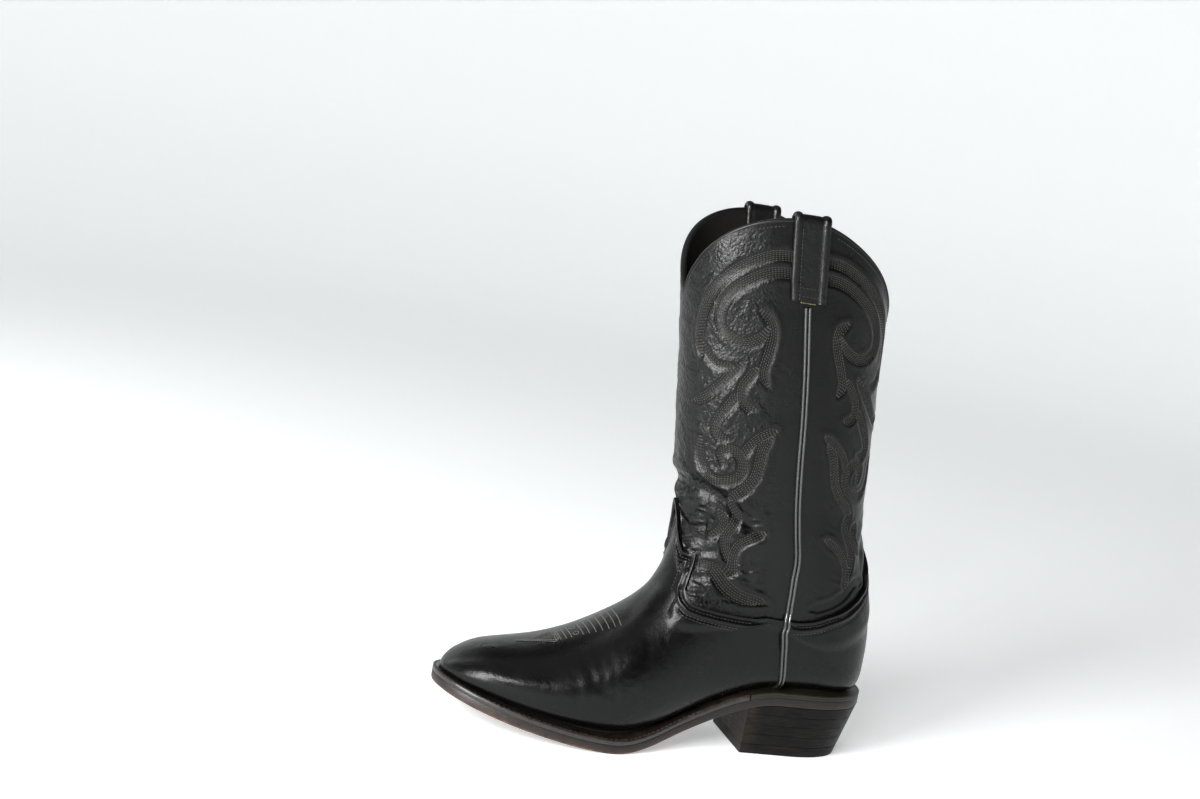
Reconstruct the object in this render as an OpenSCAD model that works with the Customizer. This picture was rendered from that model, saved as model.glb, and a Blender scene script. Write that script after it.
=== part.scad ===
// Cowboy boot, left foot: shaft, vamp and counter of leather over linings and stiffeners,
// welted to a leather sole with a stacked heel. Toe towards -X, outer side of the foot towards -Y.
// The origin is the centre of the heel's bottom face, on the ground.

/* [Foot] */
// Distance from the toe tip of the sole to the joint at the ball of the foot
fore_l = 114.5; // [95:0.5:140]
// Distance from the ball joint to the centre of the heel
arch_l = 127.5; // [106:0.5:153]
// Distance from the centre of the heel to the back of the counter
seat_l = 46; // [42:0.5:56]
// Half the width of the upper across the ball
ball_r = 47.5; // [39.5:0.5:57]
// Half the width of the upper across the waist
waist_r = 37; // [31:0.5:42]
// Half the width of the upper around the heel
heel_r = 36; // [32:0.5:42]
// Height of the toe dome above the welt
toe_rise = 32.5; // [27:0.5:39]

/* [Leg] */
// Height of the side peaks of the shaft above the heel seat
shaft_h = 304.5; // [250:0.5:366]
// Length of the ankle from front to back
ankle_l = 132.5; // [118:0.5:145]
// Half the width of the ankle
ankle_r = 40; // [36:0.5:46]
// Length of the shaft's mouth from front to back
mouth_l = 138; // [120:0.5:166]
// Half the width of the shaft's mouth
mouth_r = 46.5; // [39:0.5:56]
// How far the mouth leans forward of the ankle
lean = 21.5; // [0:0.5:30]
// Depth of the dip in the front of the scalloped top
front_dip = 56; // [10:1:70]
// Depth of the dip in the back of the scalloped top
back_dip = 68; // [10:1:80]

/* [Sole and heel] */
// Height of the heel seat above the ground
seat_h = 45; // [37.5:0.5:54]
// Lift of the toe above the ground
toe_spring = 22.5; // [10:0.5:26]
// Thickness of the outsole
outsole_t = 6; // [4.5:0.1:7.5]
// Thickness of the welt and of the heel rand
welt_t = 3.5; // [2.8:0.1:4.2]
// How far the welt stands out past the upper around the forefoot
welt_out = 4.5; // [3.5:0.1:5.5]
// How far the sole stands out past the upper at the waist and heel
seat_out = 1.6; // [1.2:0.1:2.2]
// Thickness of the insole
insole_t = 3; // [2.4:0.1:3.6]
// Thickness of the sock lining
sock_t = 1.2; // [0.8:0.1:1.6]
// Length of the heel's bottom face
heel_l = 75; // [62:0.5:84]
// Half the width of the heel's bottom face
heel_base_r = 29; // [24:0.5:33]
// Thickness of the rubber top lift
top_lift_t = 7; // [5:0.1:9]

/* [Leather] */
// Thickness of the outer leather
hide_t = 1.8; // [1.4:0.1:2.2]
// Thickness of the lining leather
lining_t = 1.1; // [0.9:0.1:1.4]
// Thickness of the toe box and of the heel stiffener
stiffener_t = 1.7; // [1.2:0.1:2.1]
// Width of the side piping
piping_w = 4.4; // [3.4:0.1:5.4]
// Height of the side piping
piping_h = 1.9; // [1.4:0.1:2.4]
// Height of the binding along the top edge
binding_h = 2.4; // [1.8:0.1:3]
// Width of a pull strap
strap_w = 24; // [18:0.5:30]
// Length of a pull strap's leg
strap_leg = 50; // [40:0.5:62]
// Gap between a pull strap's loop and the top edge
strap_loop = 1.2; // [0.8:0.1:4]
// Thickness of a pull strap
strap_t = 2.2; // [1.7:0.1:2.7]

/* [Nails, pegs and thread] */
// Number of nails in the top lift
nail_count = 9; // [5:1:13]
// Diameter of a nail
nail_d = 2.6; // [2:0.1:3.2]
// Number of pegs in each row along the waist
peg_count = 8; // [4:1:9]
// Diameter of a peg
peg_d = 2.4; // [1.8:0.1:2.8]
// Diameter of the sewing thread
thread_d = 0.8; // [0.5:0.1:1]

/* [Hidden] */

gap = 0.15;                               // clearance between layers that lie on each other
sole_t = outsole_t + welt_t;              // thickness of the sole's edge
lining_in = hide_t + gap + lining_t;      // depth of the lining's inner face under the outer face
bed_h = lining_in + gap;                  // height of the insole's underside above the welt
ball_x = -arch_l;
upper_toe_x = ball_x - fore_l + welt_out;
seat_front_x = -17;                       // where the arch reaches the level heel seat
throat_x = ball_x + 27.5;                 // front of the ankle
leg_x = (throat_x + seat_l) / 2 - 12.3;   // middle of the leg above the ankle
ankle_z = seat_h + 115;
peak_z = seat_h + shaft_h;
breast_s = 11.7;                          // station over the front face of the heel
heel_s = 13;                              // station over the centre of the heel
tail_s = 19;                              // plan position of the back of the heel
margin_t = 147;                           // angle where the upper's lasting margin ends
lift_count = 4;

// ---- Curves ----

function ease(v) = let (c = min(max(v, 0), 1)) c * c * (3 - 2 * c);
function mix(a, b, q) = a + (b - a) * q;
function unit(v) = v / max(norm(v), 0.000001);
function steps(a, b, n) = [for (i = [0:n]) mix(a, b, i / n)];
function mirrored(ts) = concat([for (i = [len(ts) - 1:-1:1]) -ts[i]], ts);

// Point at position s of the smooth curve through the rows
function along(rows, s) =
  let (
    i = min(max(floor(s), 0), len(rows) - 2),
    f = s - i,
    a = rows[max(i - 1, 0)],
    b = rows[i],
    c = rows[i + 1],
    d = rows[min(i + 2, len(rows) - 1)]
  )
  b + 0.5 * f * ((c - a) + f * (2 * a - 5 * b + 4 * c - d + f * (3 * (b - c) + d - a)));

// ---- The boot's form ----

// Height of the upper's bottom edge above the ground
function feather_z(x) =
  x < ball_x
  ? sole_t + toe_spring * pow((ball_x - x) / fore_l, 1.5)
  : mix(sole_t, seat_h, ease((x - ball_x) / (seat_front_x - ball_x)));

// The form is lofted through slices. A slice runs from a point on the front line to a point on the
// sole or the back line, and is a row of: front x, front z, back x, back z, half width, sideways
// shift, place of the widest point, front and back squareness, sole width share, seam angle.
function toe_slice(q, rise, r, shift) =
  let (x = mix(upper_toe_x, ball_x, q), z = feather_z(x))
  [x, z + rise, x, z, r, shift, 0.62, 2.15, 5, 0.94, 0];

function arch_slice(dx, dz, q, r, shift, wide, front_n, back_n, share) =
  let (x = mix(ball_x, 0, q))
  [throat_x + dx, seat_h + dz, x, feather_z(x), r, shift, wide, front_n, back_n, share, 0];

function heel_slice(dx, dz, back_dx, back_dz, r, back_n, seam) =
  [throat_x + dx, seat_h + dz, seat_l + back_dx, seat_h + back_dz, r, 0, 0.5, 2.1, back_n, 1, seam];

function leg_slice(front_q, back_q, seam) =
  let (
    q = (front_q + back_q) / 2,
    depth = mix(ankle_l, mouth_l, ease((q - 0.4) / 0.45)),
    mid = leg_x - lean * q,
    rise = peak_z - ankle_z
  )
  [mid - depth / 2, ankle_z + rise * front_q, mid + depth / 2, ankle_z + rise * back_q,
   mix(ankle_r, mouth_r, sin(90 * min(q / 0.8, 1))), 0, 0.5, 2.2, 2.2, 1, seam];

slices = [
  toe_slice(0, 1.2, 1.2, 3),
  toe_slice(0.014, 5, 8, 3),
  toe_slice(0.05, toe_rise * 0.31, ball_r * 0.33, 3),
  toe_slice(0.115, toe_rise * 0.51, ball_r * 0.5, 3),
  toe_slice(0.228, toe_rise * 0.76, ball_r * 0.68, 3),
  toe_slice(0.395, toe_rise, ball_r * 0.84, 2.8),
  toe_slice(0.6, toe_rise + 9, ball_r * 0.95, 2.5),
  toe_slice(0.8, toe_rise + 21.5, ball_r, 1.5),
  toe_slice(1, toe_rise + 37.5, ball_r - 1, 0),
  arch_slice(-16, 46, 0.184, mix(waist_r, ball_r, 0.6), -1, 0.62, 1.95, 5.5, 0.86),
  arch_slice(-8, 56, 0.357, mix(waist_r, ball_r, 0.25), -1.5, 0.6, 1.95, 6, 0.8),
  arch_slice(-3.6, 66, 0.545, waist_r, -1, 0.57, 2, 6, 0.82),
  arch_slice(-1.4, 75, 0.765, mix(waist_r, heel_r, 0.6), 0, 0.55, 2, 6, 0.88),
  arch_slice(-0.2, 84, 1, heel_r, 0, 0.53, 2.05, 5.5, 0.92),
  heel_slice(0.2, 93, -20, 0, heel_r, 4.5, 0),
  heel_slice(0.2, 100, -4, 2.5, heel_r + 0.5, 3, 1.5),
  heel_slice(-0.3, 106, 0, 19, heel_r + 1.2, 2.5, 0.5),
  heel_slice(-1, 112, -1, 42, mix(heel_r, ankle_r, 0.5), 2.3, 0.5),
  heel_slice(-2, 118, -6.5, 65, mix(heel_r, ankle_r, 0.75), 2.2, 2.5),
  heel_slice(-3.8, 126, -14, 90, ankle_r, 2.2, 3.3),
  leg_slice(0.127, 0, 4),
  leg_slice(0.222, 0.158, 2.8),
  leg_slice(0.348, 0.343, 2),
  leg_slice(0.507, 0.528, 0.5),
  leg_slice(0.675, 0.707, -1.5),
  leg_slice(0.844, 0.887, -2.5),
  leg_slice(1.034, 1.077, -3)
];
last_s = len(slices) - 1;

// Point of the form's outer face at station s and angle t. The angle is 0 on the front line,
// 90 on the outer side seam, 180 on the sole and back line and -90 on the inner side seam.
function form(s, t) =
  let (
    row = along(slices, s),
    a = t + row[10] * sin(t),
    n = cos(a) > 0 ? row[7] : row[8],
    grow = pow(pow(abs(cos(a)), n) + pow(abs(sin(a)), n), -1 / n),
    fall = grow * abs(cos(a)),
    u = cos(a) > 0 ? row[6] * (1 - fall) : mix(row[6], 1, fall),
    share = cos(a) > 0 ? 1 : 1 - (1 - row[9]) * fall * fall
  )
  [mix(row[0], row[2], u), row[5] - row[4] * share * grow * sin(a), mix(row[1], row[3], u)];

function form_normal(s, t) =
  let (
    d = 0.01,
    ds = form(min(s + d, last_s), t) - form(max(s - d, d), t),
    dt = form(s, t + 0.3) - form(s, t - 0.3)
  )
  unit(cross(dt, ds));

// Point at a height above the form's outer face, or below it where the height is negative
function face(s, t, h) = form(s, t) + h * form_normal(s, t);

// Height of the scalloped top edge, with a dip in front and one behind
function top_z(t) =
  let (k = 1 - abs(sin(t)))
  peak_z - (cos(t) > 0 ? front_dip * pow(k, 1.05) : back_dip * pow(k, 0.85));

// Station where the form reaches a height on its leg
function leg_s(t, z, low = 19, high = 26, n = 14) =
  n == 0
  ? (low + high) / 2
  : let (m = (low + high) / 2)
    form(m, t)[2] < z ? leg_s(t, z, m, high, n - 1) : leg_s(t, z, low, m, n - 1);

// ---- Seams ----

// Station of the vamp's edge: up the tongue, down its side, back to the side seam and down that
vamp_edge = [
  [0, 17.4], [5, 16.6], [12, 14.5], [19, 13.55], [25, 13.2], [31, 13.4], [35.5, 13.8], [38, 12.5],
  [42, 11.5], [48, 11.35], [54, 11.42], [62, 11.8], [70, 12.3], [77, 12.9], [84, 13.6], [88, 14.5],
  [90, 15], [92, 14.8], [97, 14.2], [107, 13.5], [118, 13], [129, 12.63], [138, 12.42], [margin_t, 12.3]
];
// Station of the counter's top edge, from the side seam up to the point at the back
counter_edge = [
  [90, 15], [96, 15.4], [104, 15.95], [112, 16.5], [121, 17], [130, 17.5], [139, 17.9], [148, 18.2],
  [157, 18.6], [166, 18.85], [174, 19.1], [180, 19.35]
];
// Station of the counter's bottom edge, down the side seam and round under the heel seat
counter_base = [
  [90, 15], [92, 14.8], [97, 14.2], [107, 13.5], [118, 13], [129, 12.63], [138, 12.42], [margin_t, 12.3],
  [151, 13.7], [160, 14.2], [180, 14.4]
];
lap = 0.8;                                // stations by which vamp and counter lap over the shaft

function vamp_s(t) = lookup(abs(t), vamp_edge);
function back_angle(t) = 180 - abs(180 - t);
function counter_s(t) = lookup(back_angle(t), counter_edge);
function base_s(t) = lookup(back_angle(t), counter_base);

// How far the vamp and the counter are lifted where they lap over the shaft
function vamp_lift(s, t) =
  abs(t) > 90 ? counter_lift(s, abs(t)) : (hide_t + gap) * ease((s - vamp_s(t) + lap + 0.75) / 0.6);
function counter_lift(s, t) = (hide_t + gap) * ease((s - counter_s(t) + lap + 0.75) / 0.6);

// How far the lining is set in to make room for the toe box and the heel stiffener
function toe_room(s, t) = ease((5.8 - s) / 0.6) * ease((134 - abs(t)) / 10);
function heel_room(s, t) =
  let (b = back_angle(abs(t)))
  ease((b - 97) / 8) * ease((s - 12.6) / 0.6) * ease((17.6 - s) / 0.6) * ease((s - 14.6) / 0.8 + (139 - b) / 8);
function room(s, t) = (stiffener_t + gap) * max(toe_room(s, t), heel_room(s, t));

// ---- Solids ----

// A closed solid. The faces are turned over if their points run the wrong way round.
module closed_solid(points, faces) {
  volumes = [for (f = faces) points[f[0]] * cross(points[f[1]], points[f[2]])];
  total = volumes * [for (v = volumes) 1];
  turned = [for (f = faces) [f[2], f[1], f[0]]];
  polyhedron(points, total > 0 ? turned : faces, convexity = 10);
}

function quad(a, b, c, d) = [[a, b, c], [a, c, d]];
function flat_list(lists) = [for (l = lists) for (item = l) item];

// A sheet over the form. stations(t) lists the rows for the angle t; over and under give the
// heights of its two faces.
module skin(angles, stations, over, under) {
  n = len(angles);
  grid = [for (t = angles) stations(t)];
  m = len(grid[0]);
  outer = [for (j = [0:m - 1]) for (i = [0:n - 1]) face(grid[i][j], angles[i], over(grid[i][j], angles[i]))];
  inner = [for (j = [0:m - 1]) for (i = [0:n - 1]) face(grid[i][j], angles[i], under(grid[i][j], angles[i]))];
  back = n * m;
  sheet = flat_list([
    for (j = [0:m - 2]) for (i = [0:n - 2])
      let (a = j * n + i, b = a + 1, c = a + n + 1, d = a + n)
      concat(quad(a, d, c, b), quad(back + a, back + b, back + c, back + d))
  ]);
  ends = flat_list([
    for (i = [0:n - 2])
      let (a = i, c = (m - 1) * n + i + 1)
      concat(quad(a, a + 1, back + a + 1, back + a), quad(c, c - 1, back + c - 1, back + c))
  ]);
  sides = flat_list([
    for (j = [0:m - 2])
      let (a = j * n, b = a + n - 1)
      concat(quad(a + n, a, back + a, back + a + n), quad(b, b + n, back + b + n, back + b))
  ]);
  closed_solid(concat(outer, inner), concat(sheet, ends, sides));
}

// A solid through a row of outlines that all have the same number of points
module loft(rings, ring_closed = false) {
  n = len(rings[0]);
  m = len(rings);
  spans = ring_closed ? m : m - 1;
  walls = flat_list([
    for (j = [0:spans - 1]) for (i = [0:n - 1])
      let (a = j * n, b = ((j + 1) % m) * n, k = (i + 1) % n)
      quad(a + i, a + k, b + k, b + i)
  ]);
  last = (m - 1) * n;
  caps = flat_list([for (i = [1:n - 2]) [[0, i + 1, i], [last, last + i, last + i + 1]]]);
  closed_solid(flat_list(rings), ring_closed ? walls : concat(walls, caps));
}

// A thread along a path of points
module thread(path, closed = false) {
  r = thread_d / 2;
  m = len(path);
  loft([
    for (i = [0:m - 1])
      let (
        before = closed ? path[(i + m - 1) % m] : path[max(i - 1, 0)],
        after = closed ? path[(i + 1) % m] : path[min(i + 1, m - 1)],
        way = unit(after - before),
        side = unit(cross(way, [0.1, 0.2, 1])),
        up = cross(side, way)
      )
      [path[i] + r * side, path[i] + r * up, path[i] - r * side, path[i] - r * up]
  ], closed);
}

// ---- Plan outline of the sole ----

// Point of the upper's outline on the sole. k runs from 0 at the toe tip to tail_s at the back.
function plan_base(u) =
  let (k = abs(u), side = sign(u))
  k <= heel_s
  ? let (row = along(slices, k)) [row[2], row[5] - side * row[4] * row[9]]
  : let (a = 90 * (k - heel_s) / (tail_s - heel_s), r = slices[heel_s][4] * slices[heel_s][9])
    [seat_l * pow(sin(a), 0.83), -side * r * pow(max(cos(a), 0), 0.83)];

function plan(u, out) =
  let (
    d = 0.02,
    way = abs(u) > tail_s - d
      ? [0, u > 0 ? 1 : -1]
      : unit(plan_base(u + d) - plan_base(u - d))
  )
  plan_base(u) + out * [way[1], -way[0]];

// How far the sole stands out past the upper
function sole_out(u) = mix(welt_out, seat_out, ease((abs(u) - 8.3) / 1.8));
function over_sole(p, h) = [p[0], p[1], feather_z(p[0]) + h];

// A plate that follows the sole from position a to position b, set in by inset(k)
module sole_plate(a, b, n, inset, low, high) {
  loft([
    for (k = steps(a, b, n))
      let (p = plan(k, inset(k)), q = plan(-k, inset(k)))
      [over_sole(p, high), over_sole(q, high), over_sole(q, low), over_sole(p, low)]
  ]);
}

// A strip that follows the sole's edge, from outer(u) to inner(u) past the upper
module sole_strip(us, outer, inner, low, high) {
  loft([
    for (u = us)
      let (p = plan(u, outer(u)), q = plan(u, inner(u)))
      [over_sole(p, high), over_sole(q, high), over_sole(q, low), over_sole(p, low)]
  ]);
}

// ---- Upper ----

side_angles = [0, 5, 12, 19, 25, 31, 35.5, 38, 42, 48, 54, 62, 70, 77, 84, 88, 90, 92, 97, 107, 118, 129, 138, margin_t];
front_angles = [for (t = side_angles) if (t <= 90) t];
rear_half = [90, 92, 97, 107, 118, 129, 138, margin_t, 151, 160, 170, 180];
rear_angles = concat(rear_half, [for (i = [len(rear_half) - 2:-1:0]) 360 - rear_half[i]]);
foot_rows = [0, 0.4, 1, 1.7, 2.5, 3.4, 4.5, 5.6, 6.8, 8, 9, 10, 10.7];

module vamp() {
  color([0.09, 0.09, 0.09])
    skin(
      mirrored(side_angles),
      function (t) concat(foot_rows, [for (q = [0.25:0.25:1]) mix(10.7, vamp_s(t), q)]),
      function (s, t) vamp_lift(s, t),
      function (s, t) vamp_lift(s, t) - hide_t
    );
}

module heel_counter() {
  color([0.08, 0.08, 0.08])
    skin(
      [for (t = rear_angles) if (t > 91 && t < 269) t],
      function (t) steps(base_s(t), counter_s(t), 9),
      function (s, t) counter_lift(s, t),
      function (s, t) counter_lift(s, t) - hide_t
    );
}

module front_shaft() {
  color([0.1, 0.1, 0.1])
    skin(
      mirrored(front_angles),
      function (t) steps(vamp_s(t) - lap, leg_s(t, top_z(t) - binding_h), 12),
      function (s, t) 0,
      function (s, t) -hide_t
    );
}

module back_shaft() {
  color([0.1, 0.1, 0.1])
    skin(
      rear_angles,
      function (t) steps(counter_s(t) - lap, leg_s(t, top_z(t) - binding_h), 11),
      function (s, t) 0,
      function (s, t) -hide_t
    );
}

// ---- Linings and stiffeners ----

function lining_over(s, t) = -hide_t - gap - room(s, t);
lining_split = 14.6;                      // station where the vamp lining meets the shaft lining

module vamp_lining() {
  color([0.62, 0.5, 0.36])
    skin(
      mirrored(side_angles),
      function (t) concat(
        foot_rows,
        [for (q = [0.25:0.25:1]) mix(10.7, abs(t) > 90 ? vamp_s(t) : lining_split, q)]
      ),
      function (s, t) lining_over(s, t),
      function (s, t) lining_over(s, t) - lining_t
    );
}

module front_lining() {
  color([0.66, 0.54, 0.4])
    skin(
      mirrored([0, 10, 20, 32, 44, 56, 68, 80, 90]),
      function (t) steps(lining_split + 0.1, leg_s(t, top_z(t) - binding_h), 11),
      function (s, t) lining_over(s, t),
      function (s, t) lining_over(s, t) - lining_t
    );
}

module back_lining() {
  color([0.66, 0.54, 0.4])
    skin(
      rear_angles,
      function (t) concat(steps(base_s(t) + 0.05, 18, 8), steps(18.8, leg_s(t, top_z(t) - binding_h), 7)),
      function (s, t) lining_over(s, t),
      function (s, t) lining_over(s, t) - lining_t
    );
}

module toe_box() {
  color([0.5, 0.42, 0.3])
    skin(
      mirrored([for (t = side_angles) if (t < 120) t]),
      function (t) [for (k = foot_rows) if (k < 5) k],
      function (s, t) -hide_t - gap,
      function (s, t) -hide_t - gap - stiffener_t
    );
}

module heel_stiffener() {
  color([0.5, 0.42, 0.3])
    skin(
      [for (t = rear_angles) if (back_angle(t) > 106) t],
      function (t) steps(max(base_s(t), back_angle(t) > 142 ? 15.5 : 13.4) + 0.3, 16.4, 7),
      function (s, t) -hide_t - gap,
      function (s, t) -hide_t - gap - stiffener_t
    );
}

// ---- Piping, binding and pull straps ----

// Side seam as a list of [station, angle], from the sole up to the foot of the pull strap
seam_path = concat(
  [[12.35, 142], [12.5, 134], [12.75, 125], [13, 118], [13.35, 110], [13.75, 103], [14.2, 97], [14.6, 93.6]],
  [for (s = steps(15, leg_s(90, peak_z - strap_leg) - 0.05, 22)) [s, 90]]
);
seam_lift = [[13.2, 0], [13.8, hide_t], [14.2, hide_t + gap], [15, hide_t + gap], [15.4, gap]];

// The piping is a folded strip, so that two ridges run along it
module side_piping(side) {
  w = piping_w / 2;
  loft([
    for (i = [0:len(seam_path) - 1])
      let (
        here = seam_path[i],
        before = seam_path[max(i - 1, 0)],
        after = seam_path[min(i + 1, len(seam_path) - 1)],
        way = unit(form(after[0], side * after[1]) - form(before[0], side * before[1])),
        up = form_normal(here[0], side * here[1]),
        across = cross(way, up),
        foot = form(here[0], side * here[1]) + (gap + lookup(here[0], seam_lift)) * up
      )
      [for (p = [[-1, 0], [-1, 0.55], [-0.6, 1], [0, 0.6], [0.6, 1], [1, 0.55], [1, 0]])
        foot + p[0] * w * across + p[1] * piping_h * up]
  ]);
}

module side_piping_outer() {
  color([0.16, 0.16, 0.16]) side_piping(1);
}

module side_piping_inner() {
  color([0.16, 0.16, 0.16]) side_piping(-1);
}

// The binding is a strip folded over the top edges of leather and lining
module top_binding() {
  color([0.07, 0.07, 0.07])
    loft([
      for (t = [0:7.5:352.5])
        let (
          z = top_z(t) - binding_h,
          s = leg_s(t, z),
          edge = form(s, t),
          n = form_normal(s, t),
          out = unit([n[0], n[1], 0]),
          o = edge + 0.3 * out,
          i = edge - (lining_in + 0.3) * out
        )
        [o + [0, 0, gap], o + [0, 0, binding_h], i + [0, 0, binding_h], i + [0, 0, gap]]
    ], true);
}

// A strap is one band over the top edge, with a leg outside and a leg inside the shaft
strap_foot_s = leg_s(90, peak_z - strap_leg);
strap_top_s = leg_s(90, peak_z - binding_h);
strap_out = 0.4;                          // clearance between a strap's outer leg and the shaft
strap_in = 1.1;                           // clearance between a strap's inner leg and the lining

// Middle line of a strap in the plane across the seam: [point, direction out of the band]
function strap_line(side) =
  let (
    h_out = strap_out + strap_t / 2,
    h_in = -lining_in - strap_in - strap_t / 2,
    mid_h = (h_out + h_in) / 2,
    bow = (h_out - h_in) / 2,
    n = form_normal(strap_top_s, side * 90),
    out = unit([0, n[1], 0]),
    crest = form(strap_top_s, side * 90) + mid_h * out,
    rise = binding_h + strap_loop - bow + strap_t / 2
  )
  concat(
    [for (s = steps(strap_foot_s, strap_top_s, 6)) [face(s, side * 90, h_out), form_normal(s, side * 90)]],
    [for (a = [0:30:180])
      [crest + out * bow * cos(a) + [0, 0, max(rise, 0.2) + bow * sin(a)], unit(out * cos(a) + [0, 0, sin(a)])]],
    [for (s = steps(strap_top_s, strap_foot_s, 6)) [face(s, side * 90, h_in), -form_normal(s, side * 90)]]
  );

module pull_strap(side) {
  along_edge = [strap_w / 2, 0, 0];
  loft([
    for (p = strap_line(side))
      let (up = p[1] * strap_t / 2)
      [p[0] - along_edge + up, p[0] + along_edge + up, p[0] + along_edge - up, p[0] - along_edge - up]
  ]);
}

module pull_strap_outer() {
  color([0.09, 0.09, 0.09]) pull_strap(1);
}

module pull_strap_inner() {
  color([0.09, 0.09, 0.09]) pull_strap(-1);
}

// ---- Inside the sole ----

function insole_inset(k) = -8.6 - 3 * ease((3 - k) / 3);

module insole() {
  color([0.72, 0.58, 0.42])
    sole_plate(0.3, 18.7, 30, function (k) insole_inset(k), bed_h, bed_h + insole_t);
}

module sock_lining() {
  color([0.5, 0.36, 0.24])
    sole_plate(0.5, 18.6, 30, function (k) insole_inset(k) - 1.2,
               bed_h + insole_t + gap, bed_h + insole_t + gap + sock_t);
}

shank_w = 14;
shank_t = 1.3;

module steel_shank() {
  color([0.6, 0.62, 0.64])
    loft([
      for (x = steps(ball_x + 22, -8, 14))
        [for (p = [[-1, 1], [1, 1], [1, 0], [-1, 0]])
          [x, p[0] * shank_w / 2 - 1, feather_z(x) + gap + p[1] * shank_t]]
    ]);
}

module cork_filler() {
  color([0.66, 0.46, 0.28])
    sole_plate(0.6, 18.4, 26, function (k) -strip_w - gap, -welt_t + gap, 0);
}

// ---- Sole and heel ----

strip_w = 9;                              // how far the welt reaches in under the upper
welt_end = breast_s - 0.03;

module welt() {
  color([0.12, 0.1, 0.09])
    sole_strip(
      mirrored(concat(steps(0, 3, 8), steps(3.6, welt_end, 14))),
      function (u) sole_out(u),
      function (u) -strip_w,
      -welt_t,
      -gap
    );
}

module heel_rand() {
  half = steps(breast_s, tail_s, 16);
  color([0.22, 0.19, 0.13])
    sole_strip(
      concat(half, [for (i = [len(half) - 2:-1:0]) -half[i]]),
      function (u) sole_out(u),
      function (u) -strip_w,
      -welt_t,
      -gap
    );
}

// Pegs stand square to the sole in two rows along the waist
module peg_holes(d, low, high) {
  for (side = [-1, 1], k = steps(9.1, 11.4, peg_count - 1)) {
    p = plan(side * k, -6);
    slope = atan((feather_z(p[0] + 1) - feather_z(p[0] - 1)) / 2);
    translate(over_sole(p, 0)) rotate([0, -slope, 0]) translate([0, 0, low])
      cylinder(d = d, h = high - low, $fn = 16);
  }
}

module outsole() {
  color([0.2, 0.13, 0.1])
    difference() {
      sole_plate(0.1, 18.9, 58, function (k) sole_out(k), -sole_t, -welt_t - gap);
      peg_holes(peg_d, -sole_t - 3, -welt_t + 3);
    }
}

module shank_pegs() {
  color([0.8, 0.68, 0.46]) peg_holes(peg_d - 0.02, -sole_t + 0.35, -welt_t - gap - 0.6);
}

heel_top = seat_h - sole_t;               // height of the stack under the level seat
lift_t = (heel_top - top_lift_t) / lift_count;

// Point of the heel's side at position u and height z. The heel tapers from the seat to its base.
function heel_point(u, z) =
  let (
    top = plan(u, seat_out - 0.5),
    front = plan(breast_s, seat_out)[0],
    span = plan(tail_s, seat_out - 0.5)[0] - front,
    side_r = abs(plan(heel_s, seat_out - 0.5)[1]),
    base = [-heel_l / 2 + (top[0] - front) * heel_l / span, top[1] * heel_base_r / side_r],
    p = mix(base, top, z / heel_top)
  )
  [p[0], p[1], z];

// Height of the sole's underside over a point of the heel
function under_sole(p) = [p[0], p[1], feather_z(p[0]) - sole_t - gap];

module heel_lift(i) {
  low = top_lift_t + (i - 1) * lift_t + gap;
  high = top_lift_t + i * lift_t;
  color([0.1, 0.09, 0.09])
    loft([
      for (k = steps(breast_s, 18.8, 18))
        let (
          p = heel_point(k, high),
          q = heel_point(-k, high),
          top_p = i == lift_count ? under_sole(p) : p,
          top_q = i == lift_count ? under_sole(q) : q
        )
        [top_p, top_q, heel_point(-k, low), heel_point(k, low)]
    ]);
}

module heel_lift_1() {
  heel_lift(1);
}

module heel_lift_2() {
  heel_lift(2);
}

module heel_lift_3() {
  heel_lift(3);
}

module heel_lift_4() {
  heel_lift(4);
}

// Nails stand in a row around the top lift, a set distance inside its edge
nail_l = top_lift_t - 1;
nail_inset = 7;

module nail_row(d, low, high) {
  for (i = [0:nail_count - 1]) {
    v = mix(12, 2 * tail_s - 12, i / (nail_count - 1));
    u = v <= tail_s ? v : v - 2 * tail_s;
    p = heel_point(u, 0);
    c = mix(p, [0, 0, 0], nail_inset / norm(p));
    translate([c[0], c[1], low]) cylinder(d = d, h = high - low, $fn = 20);
  }
}

module top_lift() {
  ks = steps(breast_s, 18.9, 20);
  outline = concat(
    [for (k = ks) let (p = heel_point(k, 0)) [p[0], p[1]]],
    [for (i = [len(ks) - 1:-1:0]) let (p = heel_point(-ks[i], 0)) [p[0], p[1]]]
  );
  color([0.06, 0.06, 0.06])
    difference() {
      linear_extrude(height = top_lift_t) polygon(outline);
      nail_row(nail_d, -1, nail_l);
    }
}

module top_lift_nails() {
  color([0.7, 0.6, 0.35]) nail_row(nail_d - 0.02, 0.2, nail_l - 0.2);
}

// ---- Threads ----

thread_h = thread_d / 2 + gap;

module welt_thread() {
  color([0.25, 0.22, 0.2])
    thread([
      for (u = mirrored(concat(steps(0, 3, 8), steps(3.6, 10.4, 12))))
        over_sole(plan(u, sole_out(u) - 1.4), thread_d / 2)
    ]);
}

// Station of a row of thread set in from the vamp's edge by a share of a station, square to the edge
function vamp_row_s(t, inset) =
  let (reach = 16 * inset)
  min([for (a = [-1:0.25:1]) vamp_s(abs(t) + a * reach) - inset * sqrt(1 - a * a)]);

// Two rows of thread hold the vamp's edge to the shaft
module vamp_thread() {
  rows = [0.17, 0.4];
  color([0.2, 0.2, 0.2])
    for (row = rows)
      thread([
        for (t = mirrored(concat([0, 6, 12, 19, 25, 29], [for (a = [33:4:81]) a])))
          let (s = vamp_row_s(t, row))
          face(s, t, vamp_lift(s, t) + thread_h)
      ]);
}

module counter_thread() {
  rows = [0.12, 0.26];
  color([0.2, 0.2, 0.2])
    for (row = rows)
      thread([
        for (t = [97:8.3:263.5])
          let (s = counter_s(t) - row)
          face(s, t, counter_lift(s, t) + thread_h)
      ]);
}

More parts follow.
